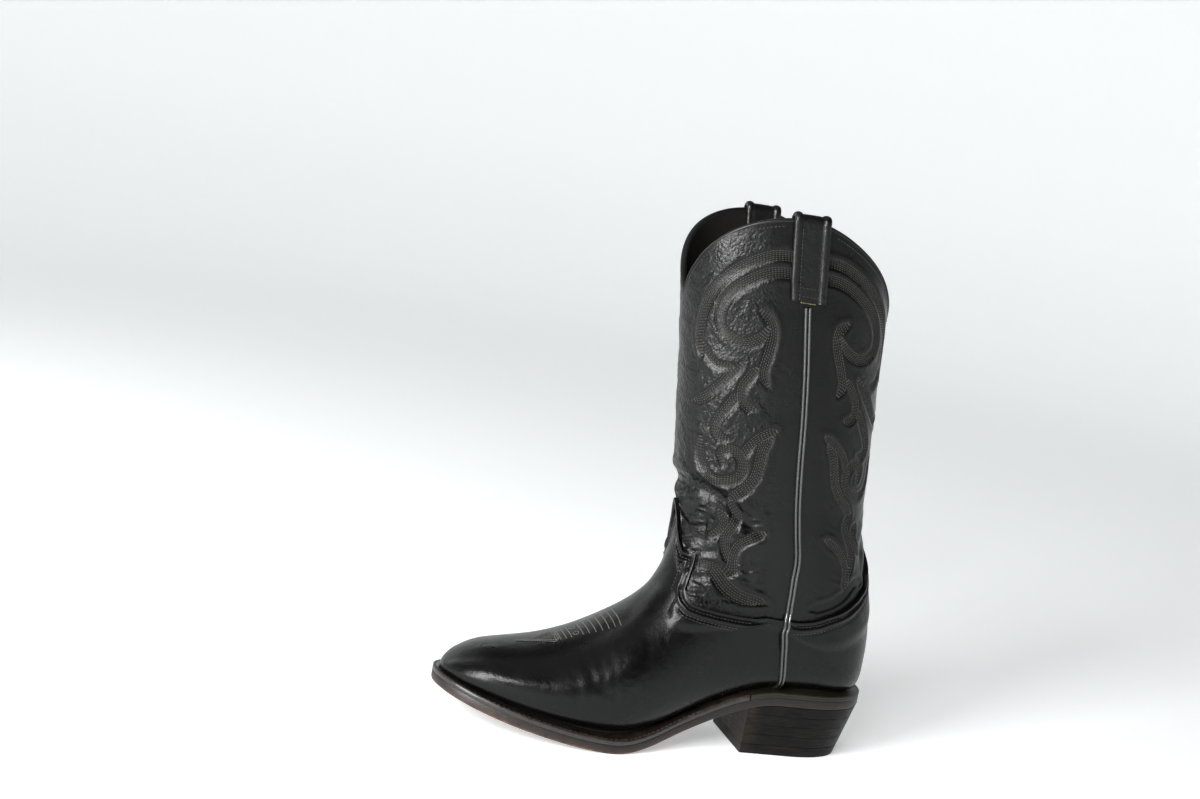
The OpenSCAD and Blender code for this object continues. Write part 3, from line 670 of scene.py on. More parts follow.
@dataclass(frozen=True)
class Leather:
    """Dyed leather: a pebble grain from the hide's pores, wrinkles, an uneven polish over the gloss, and painted
    shade in the grain's crevices.
    """

    name: str
    colour: str
    worn: str
    pore_mm: float
    pore_deep_mm: float
    wrinkle_mm: float
    wrinkle_deep_mm: float
    rough: float
    rough_spread: float
    specular: float
    coat: Coat = Coat.SATIN
    value: str = ""
    # painted_pore_shade: mixes the grain's crevices towards near-black, as painted shade
    painted_pore_shade: bool = True

    def build(self) -> bpy.types.Material:
        """Makes the material; the attribute named in value scales the grain where the hide is drawn smooth.

        Returns:
            The material.
        """
        mat = bpy.data.materials.new(self.name)
        mat.use_nodes = True
        tree = mat.node_tree
        shader = tree.nodes["Principled BSDF"]
        place = add(tree, "ShaderNodeTexCoord").outputs["Object"]
        cells = add(tree, "ShaderNodeTexVoronoi", {"feature": "SMOOTH_F1"},
                    {"Vector": place, "Scale": 1 / (self.pore_mm * MM), "Smoothness": 0.6, "Randomness": 1.0})
        fine = add(tree, "ShaderNodeTexNoise", {}, {"Vector": place, "Scale": 1 / (0.5 * MM), "Detail": 2.0})
        broad = add(tree, "ShaderNodeTexNoise", {}, {"Vector": place, "Scale": 1 / (22 * MM), "Detail": 4.0,
                                                      "Roughness": 0.6})
        folds = add(tree, "ShaderNodeTexNoise", {}, {"Vector": place, "Scale": 1 / (self.wrinkle_mm * MM),
                                                      "Detail": 3.0, "Roughness": 0.55, "Distortion": 0.8})
        tone = add(tree, "ShaderNodeMapRange", {},
                   {"Value": broad.outputs["Fac"], 1: 0.35, 2: 0.75, 3: 0.0, 4: 0.35})
        paint = add(tree, "ShaderNodeMix", {"data_type": "RGBA"},
                    {0: tone.outputs[0], 6: linear(self.colour), 7: linear(self.worn)})
        # painted shade: between the pebbles, where the grain's bump sinks, the colour is mixed towards near-black
        # #060606
        pore_shade_mask = add(tree, "ShaderNodeMapRange", {},
                   {"Value": cells.outputs["Distance"], 1: 0.25, 2: 0.75, 3: 0.0, 4: 0.35})
        shade = linear("#060606") if self.painted_pore_shade else paint.outputs[2]
        pore_shaded_colour = add(tree, "ShaderNodeMix", {"data_type": "RGBA"},
                   {0: pore_shade_mask.outputs[0], 6: paint.outputs[2], 7: shade})
        tree.links.new(pore_shaded_colour.outputs[2], shader.inputs["Base Color"])
        sheen = add(tree, "ShaderNodeMapRange", {},
                    {"Value": broad.outputs["Fac"], 1: 0.3, 2: 0.7,
                     3: self.rough - self.rough_spread / 2, 4: self.rough + self.rough_spread / 2})
        tree.links.new(sheen.outputs[0], shader.inputs["Roughness"])
        shader.inputs["Specular IOR Level"].default_value = self.specular
        shader.inputs["Coat Weight"].default_value = self.coat.value
        shader.inputs["Coat Roughness"].default_value = 0.3
        scale: bpy.types.NodeSocket | float = 1.0
        if self.value:
            scale = add(tree, "ShaderNodeAttribute", {"attribute_name": self.value}).outputs["Fac"]
        pebble = add(tree, "ShaderNodeMath", {"operation": "MULTIPLY"}, {0: cells.outputs["Distance"], 1: scale})
        speck = add(tree, "ShaderNodeMath", {"operation": "MULTIPLY_ADD"},
                    {0: fine.outputs["Fac"], 1: 0.12, 2: pebble.outputs[0]})
        bump = add(tree, "ShaderNodeBump", {"invert": True}, {"Strength": 1.0, "Distance": self.pore_deep_mm * MM,
                                                             "Height": speck.outputs[0]})
        if self.wrinkle_deep_mm:
            rise = add(tree, "ShaderNodeMath", {"operation": "MULTIPLY"}, {0: folds.outputs["Fac"], 1: scale})
            bump = add(tree, "ShaderNodeBump", {}, {"Strength": 1.0, "Distance": self.wrinkle_deep_mm * MM,
                                                    "Height": rise.outputs[0], "Normal": bump.outputs[0]})
        tree.links.new(bump.outputs[0], shader.inputs["Normal"])
        return mat


@dataclass(frozen=True)
class EdgeLeather:
    """Cut edges of sole leather, dyed, waxed and burnished: fine layers that run level, with scuffs."""

    name: str
    colour: str
    scuff: str
    layer_mm: float
    rough: float
    specular: float

    def build(self) -> bpy.types.Material:
        """Makes the material; the piece's attribute wear says how much dye is worn off, in patches.

        Returns:
            The material.
        """
        mat = bpy.data.materials.new(self.name)
        mat.use_nodes = True
        tree = mat.node_tree
        shader = tree.nodes["Principled BSDF"]
        place = add(tree, "ShaderNodeTexCoord").outputs["Object"]
        flat = add(tree, "ShaderNodeMapping", {}, {"Vector": place, "Scale": (0.12, 0.12, 1.0)})
        layers = add(tree, "ShaderNodeTexNoise", {},
                     {"Vector": flat.outputs[0], "Scale": 1 / (self.layer_mm * MM), "Detail": 3.0, "Roughness": 0.7})
        patch = add(tree, "ShaderNodeTexNoise", {}, {"Vector": place, "Scale": 1 / (5 * MM), "Detail": 5.0,
                                                      "Roughness": 0.7})
        tone = add(tree, "ShaderNodeMapRange", {},
                   {"Value": layers.outputs["Fac"], 1: 0.4, 2: 0.85, 3: 0.0, 4: 0.16})
        paint = add(tree, "ShaderNodeMix", {"data_type": "RGBA"},
                    {0: tone.outputs[0], 6: linear(self.colour), 7: linear("#4a4440")})
        wear = add(tree, "ShaderNodeAttribute", {"attribute_name": "wear"}).outputs["Fac"]
        edge = add(tree, "ShaderNodeMath", {"operation": "MULTIPLY_ADD"},
                   {0: patch.outputs["Fac"], 1: 1.8, 2: -0.55})
        both = add(tree, "ShaderNodeMath", {"operation": "MULTIPLY", "use_clamp": True},
                   {0: edge.outputs[0], 1: wear})
        worn = add(tree, "ShaderNodeMix", {"data_type": "RGBA"},
                   {0: both.outputs[0], 6: paint.outputs[2], 7: linear(self.scuff)})
        tree.links.new(worn.outputs[2], shader.inputs["Base Color"])
        gloss = add(tree, "ShaderNodeMapRange", {}, {"Value": patch.outputs["Fac"], 1: 0.3, 2: 0.7,
                                                      3: self.rough - 0.08, 4: self.rough + 0.14})
        tree.links.new(gloss.outputs[0], shader.inputs["Roughness"])
        shader.inputs["Specular IOR Level"].default_value = self.specular
        bump = add(tree, "ShaderNodeBump", {},
                   {"Strength": 1.0, "Distance": 0.16 * MM, "Height": layers.outputs["Fac"]})
        rub = add(tree, "ShaderNodeBump", {},
                  {"Strength": 1.0, "Distance": 0.2 * MM, "Height": patch.outputs["Fac"],
                   "Normal": bump.outputs[0]})
        tree.links.new(rub.outputs[0], shader.inputs["Normal"])
        return mat


@dataclass(frozen=True)
class Plain:
    """Metal, wood, cork and thread: one tone broken up by fine scratches or fibres along X."""

    name: str
    colour: str
    second: str
    rough: float
    metallic: float = 0.0
    fibre_mm: float = 0.6
    stretch: float = 0.15
    bump_mm: float = 0.05

    def build(self) -> bpy.types.Material:
        """Makes the material.

        Returns:
            The material.
        """
        mat = bpy.data.materials.new(self.name)
        mat.use_nodes = True
        tree = mat.node_tree
        shader = tree.nodes["Principled BSDF"]
        place = add(tree, "ShaderNodeTexCoord").outputs["Object"]
        long = add(tree, "ShaderNodeMapping", {}, {"Vector": place, "Scale": (self.stretch, 1.0, 1.0)})
        grain = add(tree, "ShaderNodeTexNoise", {}, {"Vector": long.outputs[0], "Scale": 1 / (self.fibre_mm * MM),
                                                      "Detail": 4.0, "Roughness": 0.6})
        tone = add(tree, "ShaderNodeMix", {"data_type": "RGBA"},
                   {0: grain.outputs["Fac"], 6: linear(self.colour), 7: linear(self.second)})
        tree.links.new(tone.outputs[2], shader.inputs["Base Color"])
        gloss = add(tree, "ShaderNodeMapRange", {}, {"Value": grain.outputs["Fac"], 3: self.rough - 0.07,
                                                      4: self.rough + 0.07})
        tree.links.new(gloss.outputs[0], shader.inputs["Roughness"])
        shader.inputs["Metallic"].default_value = self.metallic
        bump = add(tree, "ShaderNodeBump", {}, {"Strength": 1.0, "Distance": self.bump_mm * MM,
                                                "Height": grain.outputs["Fac"]})
        tree.links.new(bump.outputs[0], shader.inputs["Normal"])
        return mat


@dataclass
class Finishes:
    """All the finishes of the boot, made once."""

    made: dict = field(default_factory=dict)

    def __post_init__(self) -> None:
        """Builds every material."""
        raw = Coat.RAW
        recipes = [
            # Drum-dyed grain cowhide, tumbled soft: open pores and short wrinkles that glint on the bends.
            Leather("shaft_grain_leather", "#040404", "#0c0b0b", 1.7, 0.3, 3.6, 0.7, 0.31, 0.14, 0.26,
                    value="grain"),
            # Black calf, lasted and polished: tight pores and a broad satin gloss over the foot.
            Leather("foot_calf_leather", "#030303", "#0a0a0a", 1.1, 0.06, 12.0, 0.4, 0.3, 0.12, 0.24),
            # Strap cowhide, folded and pressed: a duller face than the calf.
            Leather("strap_leather", "#060606", "#121111", 1.3, 0.1, 6.0, 0.6, 0.33, 0.12, 0.36),
            # Glazed kid over a cord: smooth, with a bright line of gloss along each ridge.
            Leather("piping_leather", "#161616", "#2b2a29", 1.2, 0.04, 8.0, 0.2, 0.2, 0.1, 1.0, Coat.GLAZED),
            # Thin skived calf, folded over the top edge: a soft dark rim.
            Leather("binding_leather", "#070707", "#121212", 1.2, 0.06, 8.0, 0.2, 0.4, 0.1, 0.4),
            # Pigskin, flesh side tanned and left matt: a dark, dull inside.
            Leather("lining_pigskin", "#14110f", "#231d19", 1.4, 0.08, 9.0, 0.6, 0.7, 0.1, 0.2, raw),
            # Tan sheep leather, glued smooth: a warm brown footbed.
            Leather("sock_leather", "#6b4d33", "#7d5e42", 1.4, 0.06, 9.0, 0.4, 0.62, 0.1, 0.3, raw,
                    painted_pore_shade=False),
            # Oak-bark tanned shoulder, undyed: pale and matt.
            Leather("insole_leather", "#a9825a", "#b89268", 1.6, 0.05, 9.0, 0.3, 0.7, 0.1, 0.3, raw,
                    painted_pore_shade=False),
            # Pressed leather fibre, moulded hot over the last: an even, chalky brown.
            Leather("leatherboard", "#8c7350", "#9c8460", 1.0, 0.05, 6.0, 0.2, 0.75, 0.1, 0.3, raw,
                    painted_pore_shade=False),
            # Waxed rand leather, rubbed by hand: dark, with an olive-brown cast.
            Leather("rand_leather", "#14120d", "#39321f", 1.0, 0.05, 6.0, 0.2, 0.45, 0.1, 0.4, raw),
            # Welt shoulder, inked and burnished: a waxy black edge with a few pale rubs.
            EdgeLeather("welt_edge", "#0d0b0a", "#6f5648", 0.7, 0.3, 0.7),
            # Oak-bark bend, inked: black that is scuffed to reddish brown at the toe's lower rim.
            EdgeLeather("sole_edge", "#100b09", "#7f5b4b", 0.8, 0.42, 0.45),
            # Stacked leather lifts, inked and waxed: level layers with a soft sheen.
            EdgeLeather("heel_stack", "#040404", "#33291f", 1.1, 0.42, 0.14),
            # Moulded hard rubber: matt black, greyer where it has rubbed.
            EdgeLeather("heel_rubber", "#050505", "#2e2824", 3.0, 0.5, 0.14),
            # Cut brass wire: a yellow metal with drawn scratches.
            Plain("brass", "#b08a3c", "#8d6c2c", 0.35, 1.0),
            # Rolled spring steel: grey metal with fine scratches along it.
            Plain("steel_strip", "#8d9094", "#a3a6aa", 0.32, 1.0),
            # Split lemonwood: pale, with straight fibres.
            Plain("peg_wood", "#c2a06c", "#a98554", 0.6),
            # Pressed cork: coarse dull grains, drawn darker than cork is so that its edge doesn't show at the welt.
            Plain("cork", "#15110e", "#2c2019", 0.85, 0.0, 1.6, 1.0, 0.3),
            # Black waxed linen thread: small ridges that shine a little more than the leather.
            Plain("waxed_thread", "#1d1c1b", "#3b3936", 0.42, 0.0, 0.4, 1.0, 0.05),
            # The same thread in grey, dusted by wear.
            Plain("instep_thread", "#403e3c", "#5e5b58", 0.4, 0.0, 0.4, 1.0, 0.05),
            # Unwaxed olive cotton: the one coloured stitch, under each strap.
            Plain("olive_thread", "#6a6534", "#8b8448", 0.55, 0.0, 0.4, 1.0, 0.05),
        ]
        for recipe in recipes:
            self.made[recipe.name] = recipe.build()

    def get(self, name: str) -> bpy.types.Material:
        """The material of that name."""
        return self.made[name]


# ---------------------------------------------------------------- stitches


@dataclass
class Stitching:
    """Rows of sewn stitches, set along paths by one geometry tree."""

    pitch: float = 2.1
    length: float = 1.75
    radius: float = 0.3
    seed: int = 7

    def tree(self, material: bpy.types.Material) -> bpy.types.NodeTree:
        """Builds the tree: path, even points, one stitch at each, all made real and dressed.

        Args:
            material: its finish.
        Returns:
            The tree.
        """
        group = bpy.data.node_groups.new("stitch_rows", "GeometryNodeTree")
        face = group.interface
        face.new_socket("Geometry", in_out="INPUT", socket_type="NodeSocketGeometry")
        for name, kind in (("Pitch", "NodeSocketFloat"), ("Length", "NodeSocketFloat"),
                           ("Radius", "NodeSocketFloat"), ("Seed", "NodeSocketInt")):
            face.new_socket(name, in_out="INPUT", socket_type=kind)
        face.new_socket("Geometry", in_out="OUTPUT", socket_type="NodeSocketGeometry")
        start = add(group, "NodeGroupInput").outputs
        curve = add(group, "GeometryNodeMeshToCurve", {}, {"Mesh": start["Geometry"]})
        rows = add(group, "GeometryNodeResampleCurve", {"mode": "LENGTH"},
                   {"Curve": curve.outputs[0], "Length": start["Pitch"]})
        ball = add(group, "GeometryNodeMeshUVSphere", {}, {"Segments": 6, "Rings": 3, "Radius": 1.0})
        half = add(group, "ShaderNodeMath", {"operation": "MULTIPLY"}, {0: start["Length"], 1: 0.5})
        size = add(group, "ShaderNodeCombineXYZ", {},
                   {0: start["Radius"], 1: start["Radius"], 2: half.outputs[0]})
        stitch = add(group, "GeometryNodeTransform", {}, {"Geometry": ball.outputs[0], "Scale": size.outputs[0]})
        turn = add(group, "FunctionNodeAlignRotationToVector", {"axis": "Z"},
                   {"Vector": add(group, "GeometryNodeInputTangent").outputs[0]})
        vary = add(group, "FunctionNodeRandomValue", {"data_type": "FLOAT"},
                   {2: 0.88, 3: 1.1, "Seed": start["Seed"]})
        placed = add(group, "GeometryNodeInstanceOnPoints", {},
                     {"Points": rows.outputs[0], "Instance": stitch.outputs[0], "Rotation": turn.outputs[0],
                      "Scale": vary.outputs[1]})
        real = add(group, "GeometryNodeRealizeInstances", {}, {"Geometry": placed.outputs[0]})
        smooth = add(group, "GeometryNodeSetShadeSmooth", {}, {"Geometry": real.outputs[0]})
        done = add(group, "GeometryNodeSetMaterial", {}, {"Geometry": smooth.outputs[0], "Material": material})
        add(group, "NodeGroupOutput", {}, {"Geometry": done.outputs[0]})
        return group

    def sew(self, name: str, paths: list[np.ndarray], material: bpy.types.Material) -> bpy.types.Object:
        """Sews stitches along paths in mm and returns one plain mesh.

        Args:
            name: the piece's name.
            paths: point lists, each one row of stitches.
            material: the thread.
        Returns:
            The stitches as one piece.
        """
        points = np.vstack(paths)
        edges, base = [], 0
        for path in paths:
            edges += [(base + i, base + i + 1) for i in range(len(path) - 1)]
            base += len(path)
        mesh = bpy.data.meshes.new(name + "_path")
        mesh.from_pydata((points * MM).tolist(), edges, [])
        host = in_scene(bpy.data.objects.new(name, mesh))
        mod = host.modifiers.new("rows", "NODES")
        group = self.tree(material)
        mod.node_group = group
        wanted = {"Pitch": self.pitch * MM, "Length": self.length * MM, "Radius": self.radius * MM,
                  "Seed": self.seed}
        for item in group.interface.items_tree:
            if item.item_type == "SOCKET" and item.in_out == "INPUT" and item.name in wanted:
                mod[item.identifier] = wanted[item.name]
        depsgraph = bpy.context.evaluated_depsgraph_get()
        plain = bpy.data.meshes.new_from_object(host.evaluated_get(depsgraph))
        host.modifiers.remove(mod)
        host.data = plain
        bpy.data.meshes.remove(mesh)
        bpy.data.node_groups.remove(group)
        return host


# ---------------------------------------------------------------- decoration of the shaft


@dataclass
class Decoration:
    """Stitched bands of the shaft, drawn on the front outer quarter and mirrored to the other three.

    A place is (distance round the shaft from the side seam, height over the ground), in mm. A band is its width
    and its places. It narrows to tip_w of its width over point_share of its length at each free end; an end
    nearer the side seam than seam_reach isn't free.
    """

    form: BootForm
    row_gap: float = 1.15
    tip_w: float = 0.35
    point_share: float = 0.12
    blunt: float = 0.15
    seam_reach: float = 6
    bands: tuple = (
        (5.8, ((3, 326), (20, 325), (34, 319), (46, 311), (57, 300), (65, 287), (69, 274), (70, 263), (68, 255))),
        (6.2, ((3, 316), (22, 314), (36, 307), (48, 297), (54, 286), (54, 276), (48, 270), (39, 268), (30, 272),
               (24, 280))),
        (5.6, ((29, 290), (23, 285), (21, 277), (23, 267), (26, 257), (27, 250), (24, 244))),
        (5.2, ((31, 254), (36, 247), (40, 240), (40, 233), (36, 229), (31, 228))),
        (5.0, ((67, 263), (62, 255), (55, 251), (46, 252))),
        (5.6, ((41, 255), (48, 246), (56, 237), (64, 230), (72, 226))),
        (5.8, ((42, 236), (48, 227), (54, 218), (56, 211), (52, 206), (47, 206))),
        (5.8, ((50, 190), (51, 196), (46, 200), (40, 198), (37, 191), (39, 184), (46, 180), (55, 179), (62, 184),
               (66, 193), (66, 204))),
        (5.0, ((17, 217), (26, 212), (33, 205), (38, 196))),
        (6.2, ((20, 213), (25, 203), (27, 192), (30, 183), (37, 175), (46, 168))),
        (6.0, ((59, 121), (50, 122), (43, 118), (35, 112), (26, 107), (14, 103))),
        (5.6, ((37, 116), (40, 127), (38, 137), (32, 144), (22, 150))),
        (5.6, ((40, 126), (45, 135), (46, 144), (43, 151), (41, 159), (46, 168))),
        (4.8, ((57, 140), (51, 146), (49, 153), (53, 160))),
    )

    def __post_init__(self) -> None:
        """Draws each band's middle line, with its half width along it."""
        self.lines = [spline(list(points), 0.7) for _, points in self.bands]
        self.halves = []
        for (width, _), line in zip(self.bands, self.lines):
            at = np.linspace(0, 1, len(line))
            taper = ease((1 - at) / self.point_share + self.blunt)
            if line[0][0] >= self.seam_reach:
                taper = ease(at / self.point_share + self.blunt) * taper
            self.halves.append(width / 2 * (self.tip_w + (1 - self.tip_w) * taper))

    def depth_field(self, wrap: np.ndarray, z: np.ndarray) -> np.ndarray:
        """Distance outside the bands, negative inside, for places on the shaft.

        Args:
            wrap: distances round the shaft from the side seam, in mm.
            z: heights over the ground, in mm.
        Returns:
            The distances, in mm.
        """
        places = np.stack([wrap, z], -1)
        best = np.full(len(places), 99.0)
        for line, half in zip(self.lines, self.halves):
            low, high = line.min(0) - 9, line.max(0) + 9
            close = ((places > low) & (places < high)).all(1)
            if close.any():
                gap, which = nearest(places[close], line)
                best[close] = np.minimum(best[close], gap - half[which])
        return best

    def rows(self, side: int, back: bool, height: float = 0.16) -> list[np.ndarray]:
        """Rows of stitches of all bands, on one quarter of the shaft.

        Args:
            side: 1 for the outer side and -1 for the inner side.
            back: True for the quarter behind the side seam.
            height: height of the thread's middle over the sunk leather.
        Returns:
            Point lists on the shaft, in mm.
        """
        rows = []
        for order, (line, half) in enumerate(zip(self.lines, self.halves)):
            way = unit(np.gradient(line, axis=0))
            across = np.stack([-way[:, 1], way[:, 0]], -1)
            count = int(half.max() * 2 // self.row_gap)
            for k in range(count + 1):
                share = -1 + 2 * k / count
                path = line + across * (share * half)[:, None]
                keep = np.ones(len(path), bool)
                # a later band stops at the edges of the earlier ones
                for other, wide in zip(self.lines[:order], self.halves[:order]):
                    gap, which = nearest(path, other)
                    keep &= gap > wide[which] - 0.2
                keep &= (path[:, 0] > 3.4) & (path[:, 0] < self.form.quarter_w - 1)
                for run in self._runs(keep, 6):
                    rows.append(self.on_shaft(path[run], side, back, height))
        return rows

    @staticmethod
    def _runs(keep: np.ndarray, least: int) -> list[slice]:
        """Unbroken runs of kept samples that are long enough."""
        edges = np.flatnonzero(np.diff(np.concatenate([[0], keep.astype(int), [0]])))
        return [slice(a, b) for a, b in zip(edges[::2], edges[1::2]) if b - a >= least]

    def on_shaft(self, path: np.ndarray, side: int, back: bool, height: float) -> np.ndarray:
        """Places mapped to points over the shaft.

        Args:
            path: places on the shaft.
            side: 1 for the outer side and -1 for the inner side.
            back: True for the quarter behind the side seam.
            height: height over the leather, in mm.
        Returns:
            The points, in mm.
        """
        t = self.form.angle_at(path[:, 0])
        t = 180 - t if back else t
        z = path[:, 1]
        s = self.form.station(t, z)
        h = height + ShaftPanels.relief(self.form, self, t, z, s)[0]
        return self.form.face(s, side * t, h)


@dataclass
class ShaftPanels:
    """Front and back panels of the shaft: grained leather with sunk bands, creases and puffed leather between.

    No band is sewn below vamp_top on the front panel or counter_top on the back one.
    """

    form: BootForm
    seams: Seams
    decor: Decoration
    columns: int = 188
    rows: int = 254
    vamp_top: float = 98
    counter_top: float = 108

    CREASES = (
        # depth, width, whether on the front panel, and places from the panel's middle towards the side seam
        (2.3, 4.2, True, ((90, 172), (74, 172), (60, 171), (48, 165), (38, 158), (28, 152), (18, 151))),
        (1.0, 3.0, True, ((90, 150), (78, 146), (66, 138))),
        (1.5, 4.5, False, ((90, 164), (76, 152), (64, 142), (56, 130))),
        (1.1, 4.0, False, ((90, 236), (80, 226), (74, 212))),
        (0.9, 3.2, False, ((88, 143), (76, 137), (68, 124), (72, 112))),
    )

    @staticmethod
    def relief(form: BootForm, decor: Decoration, t: np.ndarray, z: np.ndarray, s: np.ndarray) -> tuple:
        """Height of the leather over the plain form, with the band distance and the share of grain.

        Args:
            form: the boot's form.
            decor: the stitched bands.
            t: angles.
            z: heights over the ground.
            s: stations; not used.
        Returns:
            Height in mm, distance outside the bands in mm, and how much grain shows, from 0 to 1.
        """
        a = np.abs((np.asarray(t, float) + 180) % 360 - 180)
        front = a <= 90
        wrap = form.wrap_of(t)
        band = decor.depth_field(wrap, z)
        lift = -0.5 * ease(0.6 - band / 0.7) + 0.36 * np.exp(-((band - 2.2) / 1.7) ** 2)
        height = lift * ease((wrap - 1.5) / 2.5)
        for depth, width, on_front, places in ShaftPanels.CREASES:
            valley = spline(list(places), 1.0)
            gap, which = nearest(np.stack([wrap, z], -1), valley)
            fade = ease((len(valley) - which) / 16)
            line = (-depth * np.exp(-(gap / width) ** 2)
                    + 0.45 * depth * np.exp(-((gap - 2.1 * width) / width) ** 2))
            height = height + np.where(front == on_front, line * fade, 0)
        calm = ease((wrap - 10) / 22)
        glossy = np.where(front, calm, 0.12 * calm)
        low = ease((172 - z) / 10) * ease((z - 96) / 10) * ease((wrap - 14) / 10)
        sway = 0.35 * value_noise(wrap / 9, z / 9, 5)
        ripple = 1 - np.abs(value_noise(wrap / 15 + sway, z / 4.4 + wrap / 17, 11))
        fold = 1 - np.abs(value_noise(wrap / 9.5 + z / 30, z / 3.8 - wrap / 22, 23))
        soft = value_noise(wrap / 13, z / 11, 31) + 0.5 * value_noise(wrap / 5, z / 4.5, 37)
        outside = ease((band - 0.2) / 1.6)
        height = height + outside * (low * np.where(front, 1.25, 0.3) * (ripple - 0.5)
                                     + glossy * 0.42 * (fold - 0.5) + 0.22 * soft * (0.3 + glossy))
        top = ease((form.top_z(t) - z - 2) / 8)
        grain = np.clip(0.2 + 0.8 * glossy - 0.45 * low, 0, 1) * (0.35 + 0.65 * outside) * (0.4 + 0.6 * top)
        return np.clip(height, -1.6, 2.2) * top, band, grain

    def panel(self, name: str, angles: np.ndarray, start: np.ndarray, material: bpy.types.Material,
              node: str) -> bpy.types.Object:
        """Builds one panel over the form from the start stations up to the binding.

        Args:
            name: the piece's name.
            angles: angles of its columns.
            start: stations of its bottom edge.
            material: its finish.
            node: the CAD node it stands for.
        Returns:
            The panel.
        """
        f = self.form
        end = f.station(angles, f.top_z(angles) - f.binding_h + 0.2)
        q = np.linspace(0, 1, self.rows)[:, None]
        s = start[None, :] + (end - start)[None, :] * q
        t = np.broadcast_to(angles[None, :], s.shape)
        base = f.form(s, t)
        normal = f.normal(s, t)
        height, band, grain = (v.reshape(s.shape) for v in self.relief(
            f, self.decor, t.ravel(), base[..., 2].ravel(), s.ravel()))
        seam = self.seams.vamp_s(t) if node == "front_shaft" else self.seams.counter_s(t)
        height = height * ease((s - seam) / 0.25)
        outer = (base + height[..., None] * normal).reshape(-1, 3)
        inner = (base + (np.minimum(height, 0) * 0.3 - f.hide_t)[..., None] * normal).reshape(-1, 3)
        obj = make_object(name, np.vstack([outer, inner]), sheet_faces(*s.shape))
        set_value(obj, "grain", np.concatenate([grain.ravel(), grain.ravel()]))
        set_value(obj, "band", np.concatenate([band.ravel(), band.ravel()]))
        return dress(obj, material, "shaft_leather", node)

    def even_angles(self, start: float, end: float) -> np.ndarray:
        """Angles at even distances round the shaft.

        Args:
            start: first angle.
            end: last angle.
        Returns:
            The angles.
        """
        t = np.linspace(start, end, 400)
        ring = self.form.form(np.full_like(t, 22.0), t)
        arc = np.concatenate([[0], np.cumsum(np.linalg.norm(np.diff(ring, axis=0), axis=1))])
        return np.interp(np.linspace(0, arc[-1], self.columns), arc, t)

    def build(self, finishes: Finishes) -> None:
        """Builds both panels and their stitched bands.

        Args:
            finishes: the boot's finishes.
        """
        lap = self.form.lap
        leather, thread = finishes.get("shaft_grain_leather"), finishes.get("waxed_thread")
        front = self.even_angles(-90, 90)
        self.panel("front_shaft_leather", front, self.seams.vamp_s(front) - lap, leather, "front_shaft")
        back = self.even_angles(90, 270)
        self.panel("back_shaft_leather", back, self.seams.counter_s(back) - lap, leather, "back_shaft")
        for side, word in ((1, "outer"), (-1, "inner")):
            for behind, part in ((False, "front"), (True, "back")):
                lowest = self.counter_top if behind else self.vamp_top
                rows = [row for row in self.decor.rows(side, behind) if row[:, 2].min() > lowest]
                sewn = Stitching(1.9, 1.6, 0.34).sew(f"band_stitches_{part}_{word}", rows, thread)
                dress(sewn, thread, "thread")


@dataclass
class Linings:
    """Lining of the shaft, seen through the mouth."""

    form: BootForm
    seams: Seams

    def build(self, finishes: Finishes) -> None:
        """Builds the front and the back lining.

        Args:
            finishes: the boot's finishes.
        """
        f = self.form
        for name, node, span in (("front_shaft_lining", "front_lining", (-90, 90)),
                                 ("back_shaft_lining", "back_lining", (90, 270))):
            t = np.linspace(*span, 72)
            start = np.full_like(t, 14.7) if node == "front_lining" else self.seams.base_s(t) + 0.05
            end = f.station(t, f.top_z(t) - f.binding_h + 0.1)
            s = start[None, :] + (end - start)[None, :] * np.linspace(0, 1, 80)[:, None]
            angle = np.broadcast_to(t[None, :], s.shape)
            base, normal = f.form(s, angle), f.normal(s, angle)
            over = self.seams.lining_over(s, angle)
            wave = 0.25 * value_noise(angle / 9, s * 3, 3)
            outer = (base + over[..., None] * normal).reshape(-1, 3)
            inner = (base + (over - f.lining_t + wave)[..., None] * normal).reshape(-1, 3)
            obj = make_object(name, np.vstack([outer, inner]), sheet_faces(*s.shape))
            dress(obj, finishes.get("lining_pigskin"), "lining_leather", node)


# ---------------------------------------------------------------- foot


class Edge(Enum):
    """The two sewn edges of the foot."""

    VAMP = "vamp"
    COUNTER = "counter"


